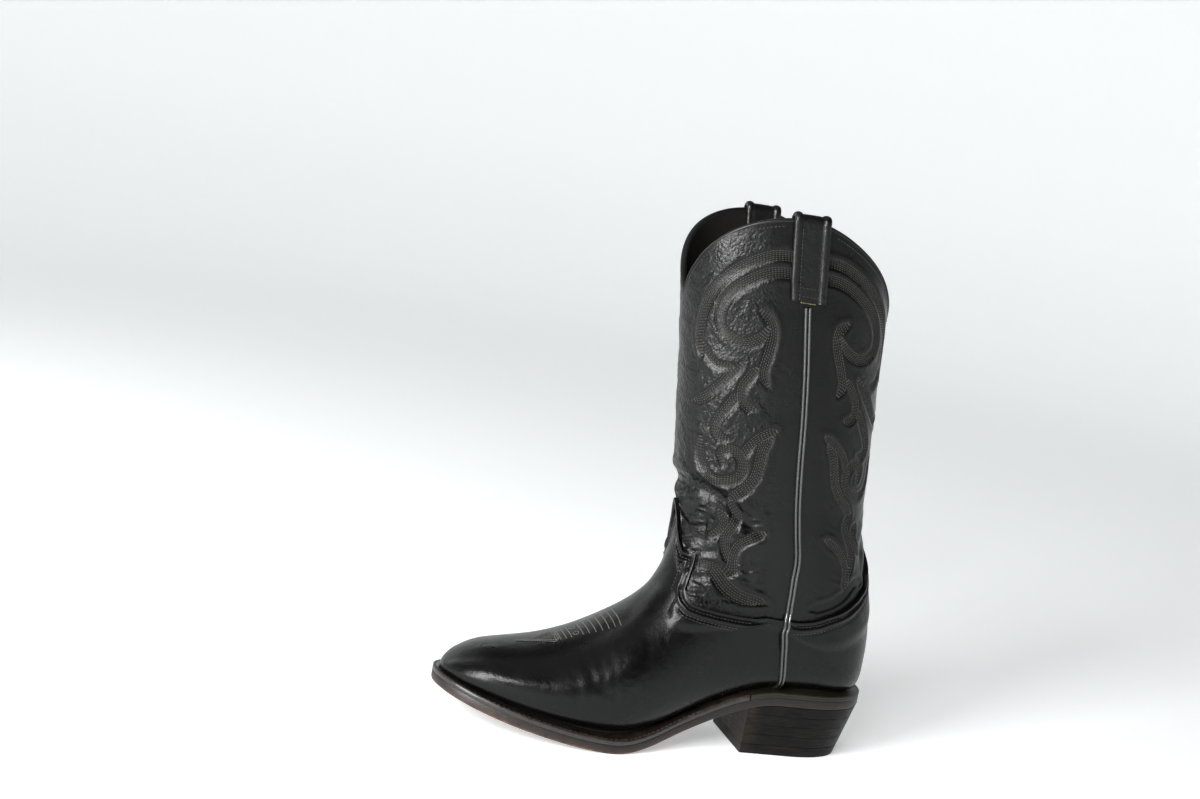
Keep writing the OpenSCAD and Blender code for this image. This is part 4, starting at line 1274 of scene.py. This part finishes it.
@dataclass
class Foot:
    """Vamp and heel counter of smooth calf, with a corded edge, lasting creases and a stitched instep."""

    form: BootForm
    seams: Seams
    columns: int = 228
    rows: int = 212
    crease_deep: float = 0.3
    uneven: float = 0.25

    def edge_profile(self, d: np.ndarray) -> np.ndarray:
        """Height of the folded edge at a distance d from it: two cords with a groove between them.

        Args:
            d: distances from the edge, in mm.
        Returns:
            The heights, in mm.
        """
        bead = 0.85 * np.exp(-((d - 1.7) / 1.0) ** 2) + 0.85 * np.exp(-((d - 5.5) / 1.25) ** 2)
        groove = -0.9 * np.exp(-((d - 3.6) / 0.7) ** 2) - 0.5 * np.exp(-((d - 8.2) / 0.9) ** 2)
        groove = groove - 0.75 * np.exp(-(np.maximum(d, 0) / 0.8) ** 2)
        return bead + groove

    def vamp(self, finishes: Finishes) -> bpy.types.Object:
        """Builds the vamp.

        Args:
            finishes: the boot's finishes.
        Returns:
            The vamp.
        """
        f = self.form
        t1 = np.linspace(-147, 147, self.columns)
        tip = np.concatenate([np.linspace(0, 1, 7)[:-1], np.linspace(1, 3, 13)[:-1], np.linspace(3, 8, 64)[:-1],
                              np.linspace(8, 10.7, 18)])
        t = np.broadcast_to(t1[None, :], (self.rows, self.columns))
        more = self.rows - len(tip)
        q = 1 - (1 - np.linspace(0, 1, more + 1)[1:, None]) ** 1.7
        s = np.concatenate([np.broadcast_to(tip[:, None], (len(tip), self.columns)),
                            10.7 + (self.seams.vamp_s(t1)[None, :] - 10.7) * q])
        base, normal = f.form(s, t), f.normal(s, t)
        lift = self.seams.vamp_lift(s, t)
        ta = np.linspace(-90, 90, 721)
        sa = self.seams.vamp_s(ta)
        rim = f.face(sa, ta, np.full_like(ta, f.hide_t))
        gap, _ = nearest(base.reshape(-1, 3), rim)
        gap = gap.reshape(s.shape)
        near = (np.abs(t) < 92) * ease((90 - np.abs(t)) / 6)
        height = np.maximum(lift + self.edge_profile(gap) * near, 0.15)
        x, z = base[..., 0], base[..., 2]
        height = height + self.creases(x, z, t)
        inner_h = np.minimum(lift - f.hide_t, height - 0.4)
        outer = (base + height[..., None] * normal).reshape(-1, 3)
        inner = (base + inner_h[..., None] * normal).reshape(-1, 3)
        obj = make_object("vamp_leather", np.vstack([outer, inner]), sheet_faces(*s.shape), 50)
        return dress(obj, finishes.get("foot_calf_leather"), "foot_leather", "vamp")

    def creases(self, x: np.ndarray, z: np.ndarray, t: np.ndarray) -> np.ndarray:
        """Flex creases across the vamp behind the toe and gentle unevenness elsewhere.

        Args:
            x: x of the places, in mm.
            z: heights over the ground, in mm.
            t: angles.
        Returns:
            Heights to add, in mm.
        """
        flex = ease((x + 175) / 25) * ease((-88 - x) / 25)
        flex = flex * ease((np.abs(t) - 25) / 30) * ease((135 - np.abs(t)) / 20)
        bend = x + 0.25 * z + 2.5 * value_noise(z / 14, x / 20, 41)
        lines = 1 - np.abs(value_noise(bend / 5.0, z / 26, 43))
        sharp = ease((lines - 0.72) / 0.28)
        broad = value_noise(x / 24, z / 20, 47)
        return -self.crease_deep * flex * sharp + self.uneven * broad * ease((x + 215) / 30)

    def counter(self, finishes: Finishes) -> bpy.types.Object:
        """Builds the heel counter.

        Args:
            finishes: the boot's finishes.
        Returns:
            The counter.
        """
        f = self.form
        t1 = np.linspace(91.5, 268.5, 140)
        a, b = self.seams.base_s(t1), self.seams.counter_s(t1)
        q = np.linspace(0, 1, 90)[:, None]
        s = a[None, :] + (b - a)[None, :] * q
        t = np.broadcast_to(t1[None, :], s.shape)
        base, normal = f.form(s, t), f.normal(s, t)
        lift = self.seams.counter_lift(s, t)
        ta = np.linspace(90, 270, 721)
        rim = f.face(self.seams.counter_s(ta), ta, np.full_like(ta, f.hide_t))
        gap, _ = nearest(base.reshape(-1, 3), rim)
        gap = gap.reshape(s.shape)
        height = np.maximum(lift + 0.8 * self.edge_profile(gap), 0.15)
        height = height + 0.25 * value_noise(t / 14, s * 1.6, 53)
        outer = (base + height[..., None] * normal).reshape(-1, 3)
        inner = (base + np.minimum(lift - f.hide_t, height - 0.4)[..., None] * normal).reshape(-1, 3)
        obj = make_object("counter_leather", np.vstack([outer, inner]), sheet_faces(*s.shape), 50)
        return dress(obj, finishes.get("foot_calf_leather"), "foot_leather", "heel_counter")

    def inset_row(self, edge: Edge, t: np.ndarray, distance: float) -> np.ndarray:
        """Points on the vamp or counter at a set distance inside its edge.

        Args:
            edge: the vamp's or the counter's edge.
            t: angles.
            distance: how far inside the edge, in mm.
        Returns:
            The points, in mm.
        """
        f, seams = self.form, self.seams
        look, lift = ((seams.vamp_s, seams.vamp_lift) if edge is Edge.VAMP
                      else (seams.counter_s, seams.counter_lift))
        dense = np.linspace(t[0] - 3, t[-1] + 3, 900)
        rim = f.face(look(dense), dense, np.full_like(dense, f.hide_t))
        low, high = look(t) - 3.2, look(t)
        for _ in range(18):
            mid = (low + high) / 2
            gap, _ = nearest(f.face(mid, t, np.full_like(mid, f.hide_t)), rim)
            low, high = np.where(gap > distance, mid, low), np.where(gap > distance, high, mid)
        s = (low + high) / 2
        return f.face(s, t, lift(s, t) + self.edge_profile(np.full_like(s, distance)) * 0.8 + 0.12)

    def sew(self, finishes: Finishes) -> None:
        """Sews the rows along the edges of the vamp and the counter.

        Args:
            finishes: the boot's finishes.
        """
        thread = finishes.get("waxed_thread")
        t = np.linspace(-84, 84, 420)
        rows = [self.inset_row(Edge.VAMP, t, d) for d in (3.5, 8.0, 9.6)]
        sewn = Stitching(2.4, 2.0, 0.32).sew("vamp_edge_stitches", rows, thread)
        dress(sewn, thread, "thread", "vamp_thread")
        t = np.linspace(96, 264, 420)
        rows = [self.inset_row(Edge.COUNTER, t, d) for d in (3.5, 8.0)]
        sewn = Stitching(2.4, 2.0, 0.32).sew("counter_edge_stitches", rows, thread)
        dress(sewn, thread, "thread", "counter_thread")

    def across_instep(self, s: float, reach: np.ndarray) -> np.ndarray:
        """Points over the instep at station s and signed distances from its middle line, in mm.

        Args:
            s: the station.
            reach: signed distances from the middle line, in mm.
        Returns:
            The points, in mm.
        """
        t = np.linspace(-60, 60, 481)
        ring = self.form.form(np.full_like(t, s), t)
        arc = np.concatenate([[0], np.cumsum(np.linalg.norm(np.diff(ring, axis=0), axis=1))])
        arc -= np.interp(0, t, arc)
        at = np.interp(reach, arc, t)
        return self.form.face(np.full_like(at, s), at, np.full_like(at, 0.25))

    def instep_flower(self, finishes: Finishes) -> None:
        """Sews the ornament of the instep: ribs, two small rings and an arrow of folded rows at the toe end.

        Args:
            finishes: the boot's finishes.
        """
        low_ribs = [(6.34, 8.0), (6.49, 8.6), (6.64, 9.2)]
        high_ribs = [(6.95 + 0.155 * k, 10.4 + 1.3 * k) for k in range(7)]
        rows = [self.across_instep(s, np.linspace(-reach, reach, 24)) for s, reach in low_ribs + high_ribs]
        wing = spline([(5.15, 0.3), (5.55, 2.4), (5.95, 6.4), (6.18, 9.6), (6.22, 6.5), (6.2, 3.0), (6.24, 0.4)],
                      0.12)
        turns = np.radians(np.linspace(0, 360, 15))
        for side in (-1, 1):
            ring = [(6.79 + 0.075 * math.sin(a), 5.4 + 2.2 * math.cos(a)) for a in turns]
            folds = [[(s + 0.05 * inset, max(y - inset, 0.2)) for s, y in wing] for inset in (0, 1.5)]
            for row in (ring, *folds):
                rows.append(np.vstack([self.across_instep(s, np.array([side * reach])) for s, reach in row]))
        thread = finishes.get("instep_thread")
        dress(Stitching(1.5, 1.75, 0.45).sew("instep_stitches", rows, thread), thread, "thread")

    def build(self, finishes: Finishes) -> None:
        """Builds the foot.

        Args:
            finishes: the boot's finishes.
        """
        self.vamp(finishes)
        self.counter(finishes)
        self.sew(finishes)
        self.instep_flower(finishes)


# ---------------------------------------------------------------- piping, binding and straps


@dataclass
class Trim:
    """Side piping, top binding and pull straps."""

    form: BootForm
    seams: Seams
    piping_w: float = 4.4
    piping_h: float = 1.9
    strap_w: float = 24
    strap_leg: float = 50
    strap_loop: float = 1.2
    strap_t: float = 2.2
    strap_out: float = 0.4
    strap_in: float = 1.1

    def piping(self, side: int, finishes: Finishes) -> None:
        """Builds one side's piping: a folded strip that shows two rounded ridges with a dark groove.

        Args:
            side: 1 for the outer side and -1 for the inner side.
            finishes: the boot's finishes.
        """
        f = self.form
        top = float(f.station(np.array(90.0), np.array(f.peak_z - self.strap_leg), 19.0)) - 0.05
        corner = [(12.35, 142), (12.5, 134), (12.75, 125), (13, 118), (13.35, 110), (13.75, 103), (14.2, 97),
                  (14.6, 93.6)]
        path = np.array(corner + [(s, 90) for s in np.linspace(15, top, 22)], float)
        knots = np.arange(len(path))
        at = np.linspace(0, len(path) - 1, 260)
        s, t = (np.interp(at, knots, path[:, k]) for k in (0, 1))
        kernel = np.ones(9) / 9
        s, t = (np.convolve(np.pad(v, 4, mode="edge"), kernel, "valid") for v in (s, t))
        over = f.hide_t + f.gap
        lift = np.interp(s, [13.2, 13.8, 14.2, 15, 15.4], [0, f.hide_t, over, over, f.gap])
        up = f.normal(s, side * t)
        foot = f.form(s, side * t) + (f.gap + lift)[:, None] * up
        way = unit(np.gradient(f.form(s, side * t), axis=0))
        across = np.cross(way, up)
        profile = [(-1, -0.05), (-1, 0.3), (-0.93, 0.68), (-0.78, 0.93), (-0.58, 1.0), (-0.38, 0.9), (-0.2, 0.62),
                   (-0.08, 0.3), (0, 0.16), (0.08, 0.3), (0.2, 0.62), (0.38, 0.9), (0.58, 1.0), (0.78, 0.93),
                   (0.93, 0.68), (1, 0.3), (1, -0.05)]
        wobble = 1 + 0.05 * value_noise(at / 9, at * 0, 61 + side)
        rings = np.stack([foot + (a * self.piping_w / 2 * wobble)[:, None] * across + b * self.piping_h * up
                          for a, b in profile], 1)
        word = "outer" if side > 0 else "inner"
        obj = make_object(f"piping_{word}_side", rings.reshape(-1, 3), loft_faces(*rings.shape[:2]), 60)
        dress(obj, finishes.get("piping_leather"), "piping", f"side_piping_{word}")

    def binding(self, finishes: Finishes) -> None:
        """Builds the binding folded over the top edge.

        Args:
            finishes: the boot's finishes.
        """
        f = self.form
        t = np.concatenate([np.linspace(-90, 90, 130)[:-1], np.linspace(90, 270, 130)[:-1]])
        s = f.station(t, f.top_z(t) - f.binding_h)
        edge, n = f.form(s, t), f.normal(s, t)
        out = unit(n * np.array([1, 1, 0]))
        h, thick = f.binding_h, f.lining_in
        profile = [(0.3, 0.1), (0.52, 0.5), (0.45, 1.3), (0.1, 2.0), (-0.8, 2.38), (-thick + 0.6, 2.38),
                   (-thick + 0.1, 2.0), (-thick - 0.3, 1.3), (-thick - 0.3, 0.1)]
        up = np.array([0, 0, 1.0])
        rings = np.stack([edge + a * out + min(b, h) * up for a, b in profile], 1)
        obj = make_object("mouth_binding", rings.reshape(-1, 3), loft_faces(*rings.shape[:2], ring=True), 60)
        dress(obj, finishes.get("binding_leather"), "binding", "top_binding")
        thread = finishes.get("waxed_thread")
        rows = []
        for a, b in ((-75, 75), (105, 255)):
            ts = np.linspace(a, b, 260)
            ss = f.station(ts, f.top_z(ts) - f.binding_h - 2.6)
            rows.append(f.face(ss, ts, np.full_like(ts, 0.15)))
        dress(Stitching(2.4, 2.0, 0.3).sew("collar_stitches", rows, thread), thread, "thread", "collar_thread")

    def strap_line(self, side: int, n: int = 26) -> tuple[np.ndarray, np.ndarray]:
        """Middle line of a strap and the directions out of it.

        Args:
            side: 1 for the outer side and -1 for the inner side.
            n: samples on each leg.
        Returns:
            The points in mm and the directions.
        """
        f = self.form
        h_out = self.strap_out + self.strap_t / 2
        h_in = -f.lining_in - self.strap_in - self.strap_t / 2
        foot = float(f.station(np.array(90.0), np.array(f.peak_z - self.strap_leg), 19.0))
        top = float(f.station(np.array(90.0), np.array(f.peak_z - f.binding_h), 19.0))
        bow, mid_h = (h_out - h_in) / 2, (h_out + h_in) / 2
        normal = f.normal(np.array([top]), np.array([side * 90.0]))[0]
        out = unit(normal * np.array([0, 1, 0]))
        crest = f.form(np.array([top]), np.array([side * 90.0]))[0] + mid_h * out
        rise = max(f.binding_h + self.strap_loop - bow + self.strap_t / 2, 0.2)
        s = np.linspace(foot, top, n)
        t = np.full(n, side * 90.0)
        a = np.radians(np.linspace(0, 180, 15))[1:-1, None]
        bend = crest + out * bow * np.cos(a) + np.array([0, 0, 1]) * (rise + bow * np.sin(a))
        turn = out * np.cos(a) + np.array([0, 0, 1]) * np.sin(a)
        line = np.vstack([f.face(s, t, np.full(n, h_out)), bend, f.face(s[::-1], t, np.full(n, h_in))])
        ways = np.vstack([f.normal(s, t), turn, -f.normal(s[::-1], t)])
        return line, unit(ways)

    def strap(self, side: int, finishes: Finishes) -> None:
        """Builds one pull strap: a folded band with a raised ridge along each edge.

        Args:
            side: 1 for the outer side and -1 for the inner side.
            finishes: the boot's finishes.
        """
        line, ways = self.strap_line(side)
        half, thick = self.strap_w / 2, self.strap_t / 2
        profile = [(-1, -1), (-1, 0.3), (-0.98, 0.8), (-0.93, 1.2), (-0.86, 1.5), (-0.78, 1.62), (-0.7, 1.5),
                   (-0.63, 1.15), (-0.58, 0.66), (-0.52, 0.56), (-0.3, 0.66), (0, 0.72), (0.3, 0.66), (0.52, 0.56),
                   (0.58, 0.66), (0.63, 1.15), (0.7, 1.5), (0.78, 1.62), (0.86, 1.5), (0.93, 1.2), (0.98, 0.8),
                   (1, 0.3), (1, -1)]
        along = np.array([1.0, 0, 0])
        k = np.arange(len(line))
        narrow = 1 - 0.05 * ease(1 - k / 8)
        rings = np.stack([line + (a * half * narrow)[:, None] * along + b * thick * ways for a, b in profile], 1)
        rings[..., 2] += 0.12 * value_noise(k[:, None] / 3 + 0 * rings[..., 0], rings[..., 0] / 5, 71)
        name = "outer" if side > 0 else "inner"
        obj = make_object(f"{name}_pull_strap_leather", rings.reshape(-1, 3), loft_faces(*rings.shape[:2]), 60)
        dress(obj, finishes.get("strap_leather"), "strap_leather", f"pull_strap_{name}")
        rows = []
        for edge in (-1, 1):
            rows.append(line[1:24] + ways[1:24] * (thick * 0.72 + 0.15) + along * edge * half * 0.55 * 0.98)
        x = np.linspace(-half * 0.5, half * 0.5, 12)
        for k in (2, 5):
            rows.append(line[k] + ways[k] * (thick * 0.78 + 0.12) + along * x[:, None])
        thread = finishes.get("waxed_thread")
        nodes = ("strap_thread",) if side > 0 else ()
        dress(Stitching(2.2, 1.8, 0.28).sew(f"{name}_strap_stitches", rows, thread), thread, "thread", *nodes)
        foot = line[0] - ways[0] * 0.2 + np.array([0, 0, -0.6])
        tack = [foot + along * v for v in np.linspace(-4.5, 4.5, 9)]
        olive = finishes.get("olive_thread")
        dress(Stitching(1.4, 1.5, 0.35).sew(f"{name}_strap_tack", [np.array(tack)], olive), olive, "thread")

    def build(self, finishes: Finishes) -> None:
        """Builds all trim.

        Args:
            finishes: the boot's finishes.
        """
        self.binding(finishes)
        for side in (1, -1):
            self.piping(side, finishes)
            self.strap(side, finishes)


# ---------------------------------------------------------------- sole and heel


@dataclass
class Bottom:
    """Welt, rand, outsole and stacked heel."""

    form: BootForm
    lifts: int = 4
    rubber_round: float = 0.25
    lift_round: float = 0.05

    @staticmethod
    def off_tip(u: np.ndarray) -> np.ndarray:
        """Plan positions, with 0 moved to the outer side because it belongs to neither side."""
        return np.where(u == 0, 1e-4, u)

    def loops(self, us: np.ndarray, levels: list, heel: bool = False) -> tuple[np.ndarray, list]:
        """Closed plate through outlines on both sides of the middle.

        Args:
            us: plan positions on one side, from the front to the back.
            levels: functions of signed plan positions that give the outline's points, from the bottom up.
            heel: True where the outline starts at the heel's flat front.
        Returns:
            The points and the faces.
        """
        n = len(us)
        signed = np.concatenate([us, -us[::-1]]) if heel else np.concatenate([us, -us[-2:0:-1]])
        rings = [level(signed) for level in levels]
        points = np.vstack(rings)
        size = len(signed)
        faces = []
        for j in range(len(rings) - 1):
            a = j * size + np.arange(size)
            b = j * size + (np.arange(size) + 1) % size
            faces += np.stack([a, b, b + size, a + size], 1).tolist()

        def pair(i: int) -> int:
            """Index of the point across the middle."""
            return size - 1 - i if heel else (size - i) % size

        for j, turn in ((0, False), (len(rings) - 1, True)):
            for i in range(n - 1):
                quad = list(dict.fromkeys([i, i + 1, pair(i + 1), pair(i)]))
                if len(quad) > 2:
                    quad = [j * size + q for q in quad]
                    faces.append(quad if turn else quad[::-1])
        return points, faces

    def positions(self, start: float) -> np.ndarray:
        """Plan positions with close samples at the toe and the back.

        Args:
            start: first position.
        Returns:
            The positions.
        """
        parts = [np.linspace(0, 1, 10)[:-1], np.linspace(1, 4, 24)[:-1], np.linspace(4, 13, 64)[:-1],
                 13 + 6 * (1 - (1 - np.linspace(0, 1, 46)) ** 1.9)]
        u = np.concatenate(parts)
        u = np.append(u[u < self.form.tail_s - 0.05], self.form.tail_s - 0.03)
        return np.concatenate([[start], u[u > start + 0.03]]) if start > 0 else u

    def plate(self, name: str, levels: list[tuple[float, float]]) -> bpy.types.Object:
        """Builds a plate that follows the sole; levels are (distance past the sole's edge, height).

        Args:
            name: the piece's name.
            levels: pairs of distance past the sole's edge and height over the welt's top, from the bottom up.
        Returns:
            The plate.
        """
        f = self.form
        made = [lambda u, o=o, h=h: f.over_sole(f.plan(self.off_tip(u), f.sole_out(u) + o), h)
                for o, h in levels]
        points, faces = self.loops(self.positions(0.0), made)
        return make_object(name, points, faces, 35)

    def outsole(self, finishes: Finishes) -> None:
        """Builds the outsole with a worn lower rim.

        Args:
            finishes: the boot's finishes.
        """
        f = self.form
        low, high = -f.sole_t, -f.welt_t - f.gap
        obj = self.plate("outsole_leather", [(-3, low), (-1.1, low + 0.02), (-0.4, low + 0.3), (-0.05, low + 1.0),
                                             (0, low + 1.8), (0, high - 0.6), (-0.25, high)])
        x, z = (np.array([v.co[k] for v in obj.data.vertices]) / MM for k in (0, 2))
        above = z - (f.feather_z(x) - f.sole_t)
        wear = ease((2.4 - above) / 2.2) * ease((-60 - x) / 40)
        set_value(obj, "wear", np.maximum(wear, 0.5 * (above < 0.5) * ease((-75 - x) / 20)))
        dress(obj, finishes.get("sole_edge"), "sole_leather", "outsole")

    def strip(self, name: str, us: np.ndarray, profile: list[tuple[float, float]], material: bpy.types.Material,
              slot: str, node: str, wear: float) -> None:
        """Builds an edge strip; the profile is (distance past the sole's edge, height over the welt's top).

        Args:
            name: the piece's name.
            us: plan positions.
            profile: pairs of distance past the sole's edge and height over the welt's top.
            material: its finish.
            slot: passed on to dress, which does not use it.
            node: the CAD node it stands for.
            wear: how much of its dye is worn off, from 0 to 1.
        """
        f = self.form
        rings = np.stack([f.over_sole(f.plan(self.off_tip(us), f.sole_out(us) + a), b) for a, b in profile], 1)
        obj = make_object(name, rings.reshape(-1, 3), loft_faces(*rings.shape[:2]), 40)
        set_value(obj, "wear", np.full(len(obj.data.vertices), wear))
        dress(obj, material, slot, node)

    def welt(self, finishes: Finishes) -> None:
        """Builds the welt with its stitch groove, and its stitches.

        Args:
            finishes: the boot's finishes.
        """
        f = self.form
        half = self.positions(0.0)
        half = np.append(half[half < f.breast_s - 0.03], f.breast_s - 0.03)
        us = np.concatenate([-half[:0:-1], half])
        wheel = [(-f.welt_out - f.strip_w, -f.welt_t), (-0.25, -f.welt_t), (0.0, -f.welt_t + 0.5), (0.0, -1.1),
                 (-0.2, -0.55), (-0.7, -f.gap), (-1.2, -0.2), (-1.6, -0.75), (-2.0, -0.2), (-2.6, -f.gap),
                 (-f.welt_out - f.strip_w, -f.gap)]
        self.strip("welt_leather", us, wheel, finishes.get("welt_edge"), "welt_leather", "welt", 0.12)
        half = half[half < 10.5]
        us = np.concatenate([-half[:0:-1], half])
        row = f.over_sole(f.plan(self.off_tip(us), f.sole_out(us) - 1.6), -0.35)
        thread = finishes.get("waxed_thread")
        dress(Stitching(3.4, 2.9, 0.5).sew("welt_stitches", [row], thread), thread, "thread", "welt_thread")

    def rand(self, finishes: Finishes) -> None:
        """Builds the rand round the heel seat.

        Args:
            finishes: the boot's finishes.
        """
        f = self.form
        half = self.positions(f.breast_s)
        us = np.concatenate([half, -half[-2::-1]])
        profile = [(-f.seat_out - f.strip_w, -f.welt_t), (-0.2, -f.welt_t), (0.0, -f.welt_t + 0.4), (0.05, -2.2),
                   (-0.1, -1.9), (0.1, -1.5), (0.1, -0.7), (-0.3, -f.gap), (-f.seat_out - f.strip_w, -f.gap)]
        self.strip("seat_rand", us, profile, finishes.get("rand_leather"), "rand_leather", "heel_rand", 0.0)

    def heel_outline(self, u: np.ndarray, z: float, inset: float, seat: bool) -> np.ndarray:
        """Outline of the heel at one height, or where it meets the outsole if seat is true.

        Args:
            u: plan positions, negative on the inner side.
            z: its height, in mm.
            inset: distance inwards, in mm.
            seat: True for the outline under the outsole.
        Returns:
            The points, in mm.
        """
        f = self.form
        p = f.heel_point(self.off_tip(u), np.full(u.shape, z), inset)
        if seat:
            p[:, 2] = f.feather_z(p[:, 0]) - f.sole_t - f.gap
        return p

    def heel(self, finishes: Finishes) -> None:
        """Builds the lifts and the top lift, each with its edges rounded a little.

        Args:
            finishes: the boot's finishes.
        """
        f = self.form
        us = self.positions(f.breast_s)
        lift_t = (f.heel_top - f.top_lift_t) / self.lifts
        for i in range(self.lifts + 1):
            low = 0.0 if i == 0 else f.top_lift_t + (i - 1) * lift_t + f.gap
            high = f.top_lift_t if i == 0 else f.top_lift_t + i * lift_t
            step = self.rubber_round if i == 0 else self.lift_round
            outlines = [(low, step, False), (low + step, 0.0, False)]
            outlines += [(low + (high - low) * q, 0.0, False) for q in (0.35, 0.7)]
            if i == self.lifts:
                outlines.append((high, 0.0, True))
            else:
                outlines += [(high - step, 0.0, False), (high, step, False)]
            levels = [lambda u, o=outline: self.heel_outline(u, *o) for outline in outlines]
            points, faces = self.loops(us, levels, heel=True)
            name = "top_lift_rubber" if i == 0 else f"stacked_lift_{i}"
            obj = make_object(name, points, faces, 35)
            x, z = points[:, 0], points[:, 2]
            scuff = ease((-26 - x) / 8) * 0.8 + 0.25 * ease((6 - z) / 6)
            set_value(obj, "wear", np.clip(scuff, 0, 1))
            if i == 0:
                dress(obj, finishes.get("heel_rubber"), "heel_rubber", "top_lift")
            else:
                dress(obj, finishes.get("heel_stack"), "heel_leather", f"heel_lift_{i}")

    def build(self, finishes: Finishes) -> None:
        """Builds the bottom.

        Args:
            finishes: the boot's finishes.
        """
        self.outsole(finishes)
        self.welt(finishes)
        self.rand(finishes)
        self.heel(finishes)


@dataclass
class HiddenParts:
    """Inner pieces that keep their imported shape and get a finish."""

    finish_of: tuple = (
        ("vamp_lining", "lining_pigskin"), ("toe_box", "leatherboard"), ("heel_stiffener", "leatherboard"),
        ("insole", "insole_leather"), ("sock_lining", "sock_leather"), ("steel_shank", "steel_strip"),
        ("cork_filler", "cork"), ("top_lift_nails", "brass"), ("shank_pegs", "peg_wood"),
    )

    def build(self, finishes: Finishes) -> None:
        """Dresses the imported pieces.

        Args:
            finishes: the boot's finishes.
        """
        for node, finish in self.finish_of:
            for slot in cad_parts[node].material_slots:
                slot.material = finishes.get(finish)
            LOG.info("%s keeps its packed shape", node)


# ---------------------------------------------------------------- studio


def axes(x: np.ndarray, y: np.ndarray, z: np.ndarray, at: tuple) -> Matrix:
    """Matrix of an object with these axes at this place."""
    return Matrix([[x[k], y[k], z[k], at[k]] for k in range(3)] + [[0, 0, 0, 1]])


@dataclass(frozen=True)
class SoftBox:
    """A rectangular soft light: where it stands, the point it faces, its width and height, and its watts."""

    name: str
    stand: tuple[float, float, float]
    target: tuple[float, float, float]
    size: tuple[float, float]
    power: float

    def build(self) -> None:
        """Adds the light, with its width level."""
        data = bpy.data.lights.new(self.name, "AREA")
        data.shape = "RECTANGLE"
        data.size, data.size_y = self.size
        data.energy = self.power
        obj = in_scene(bpy.data.objects.new(self.name, data))
        z = unit(np.array(self.stand) - np.array(self.target))
        x = unit(np.cross([0, 0, 1.0], z))
        obj.matrix_world = axes(x, np.cross(z, x), z, self.stand)


@dataclass
class Studio:
    """Pale floor, soft lights and the camera, in metres and degrees.

    The camera's heading is counted from +Y, its pitch from level and its roll from upright.
    """

    location: tuple = (-0.44925, -1.00222, 0.36796)
    heading: float = -15.8668
    pitch: float = -8.3241
    roll: float = 9.9346
    lens_mm: float = 50
    sensor_mm: float = 36
    glow: float = 0.38
    sky: float = 0.06
    floor_sides: int = 96
    # radius and height of the floor's rings
    floor_rings: tuple = ((0.0, 0.0), (1.5, 0.0), (2.6, 0.0), (3.0, 0.04), (3.3, 0.18), (3.5, 0.45), (3.6, 0.9),
                          (3.65, 1.9))
    lights: tuple = (
        SoftBox("key_left", (-1.45, -0.95, 0.62), (-0.06, 0.0, 0.17), (0.5, 1.3), 52),
        SoftBox("ceiling", (-0.5, 0.1, 2.4), (-0.1, 0.0, 0.0), (2.6, 2.2), 6),
        SoftBox("toe_left", (-1.0, -1.35, 0.95), (-0.2, 0.0, 0.05), (0.55, 0.3), 15),
        SoftBox("edge_left", (-0.9, 0.9, 0.9), (-0.05, 0.0, 0.2), (0.35, 0.9), 2),
    )

    def floor(self) -> None:
        """Builds the floor of matt white paint, which curves up far off and lower towards the camera."""
        turns = np.radians(np.linspace(0, 360, self.floor_sides + 1))[:-1]
        behind = 0.4 + 0.6 * ease((np.sin(turns) + 0.1) / 0.3)
        points = [(r * math.cos(a), r * math.sin(a), z * b) for r, z in self.floor_rings
                  for a, b in zip(turns, behind)]
        n = self.floor_sides
        faces = [(j * n + i, j * n + (i + 1) % n, (j + 1) * n + (i + 1) % n, (j + 1) * n + i)
                 for j in range(len(self.floor_rings) - 1) for i in range(n)]
        mesh = bpy.data.meshes.new("studio_floor")
        mesh.from_pydata(points, [], faces)
        mesh.shade_smooth()
        obj = in_scene(bpy.data.objects.new("studio_floor", mesh))
        mat = bpy.data.materials.new("painted_floor")
        mat.use_nodes = True
        shader = mat.node_tree.nodes["Principled BSDF"]
        shader.inputs["Base Color"].default_value = linear("#f2f4f4")
        shader.inputs["Roughness"].default_value = 0.8
        shader.inputs["Specular IOR Level"].default_value = 0.1
        shader.inputs["Emission Color"].default_value = linear("#fbfdfd")
        shader.inputs["Emission Strength"].default_value = self.glow
        obj.data.materials.append(mat)

    def camera(self) -> None:
        """Adds the camera at its heading, pitch and roll."""
        heading, pitch, roll = np.radians([self.heading, self.pitch, self.roll])
        flat = math.cos(pitch)
        ahead = np.array([-math.sin(heading) * flat, math.cos(heading) * flat, math.sin(pitch)])
        level = np.array([math.cos(heading), math.sin(heading), 0.0])
        over = np.cross(level, ahead)
        right = level * math.cos(roll) + over * math.sin(roll)
        up = over * math.cos(roll) - level * math.sin(roll)
        data = bpy.data.cameras.new("camera")
        data.lens, data.sensor_width = self.lens_mm, self.sensor_mm
        obj = in_scene(bpy.data.objects.new("camera", data))
        obj.matrix_world = axes(right, up, -ahead, self.location)
        bpy.context.scene.camera = obj

    def build(self) -> None:
        """Builds floor, world, lights and camera."""
        self.floor()
        world = bpy.data.worlds.new("studio")
        world.use_nodes = True
        back = world.node_tree.nodes["Background"]
        back.inputs["Color"].default_value = linear("#f4f6f6")
        back.inputs["Strength"].default_value = self.sky
        bpy.context.scene.world = world
        for light in self.lights:
            light.build()
        bpy.context.scene.view_settings.view_transform = "Standard"
        self.camera()


def main() -> None:
    """Builds the boot's pieces in order."""
    logging.basicConfig(level=logging.INFO, format="%(message)s")
    form = BootForm()
    seams = Seams(form)
    finishes = Finishes()
    HiddenParts().build(finishes)
    Foot(form, seams).build(finishes)
    ShaftPanels(form, seams, Decoration(form)).build(finishes)
    Linings(form, seams).build(finishes)
    Trim(form, seams).build(finishes)
    Bottom(form).build(finishes)
    Studio().build()


if __name__ == "__main__":
    main()
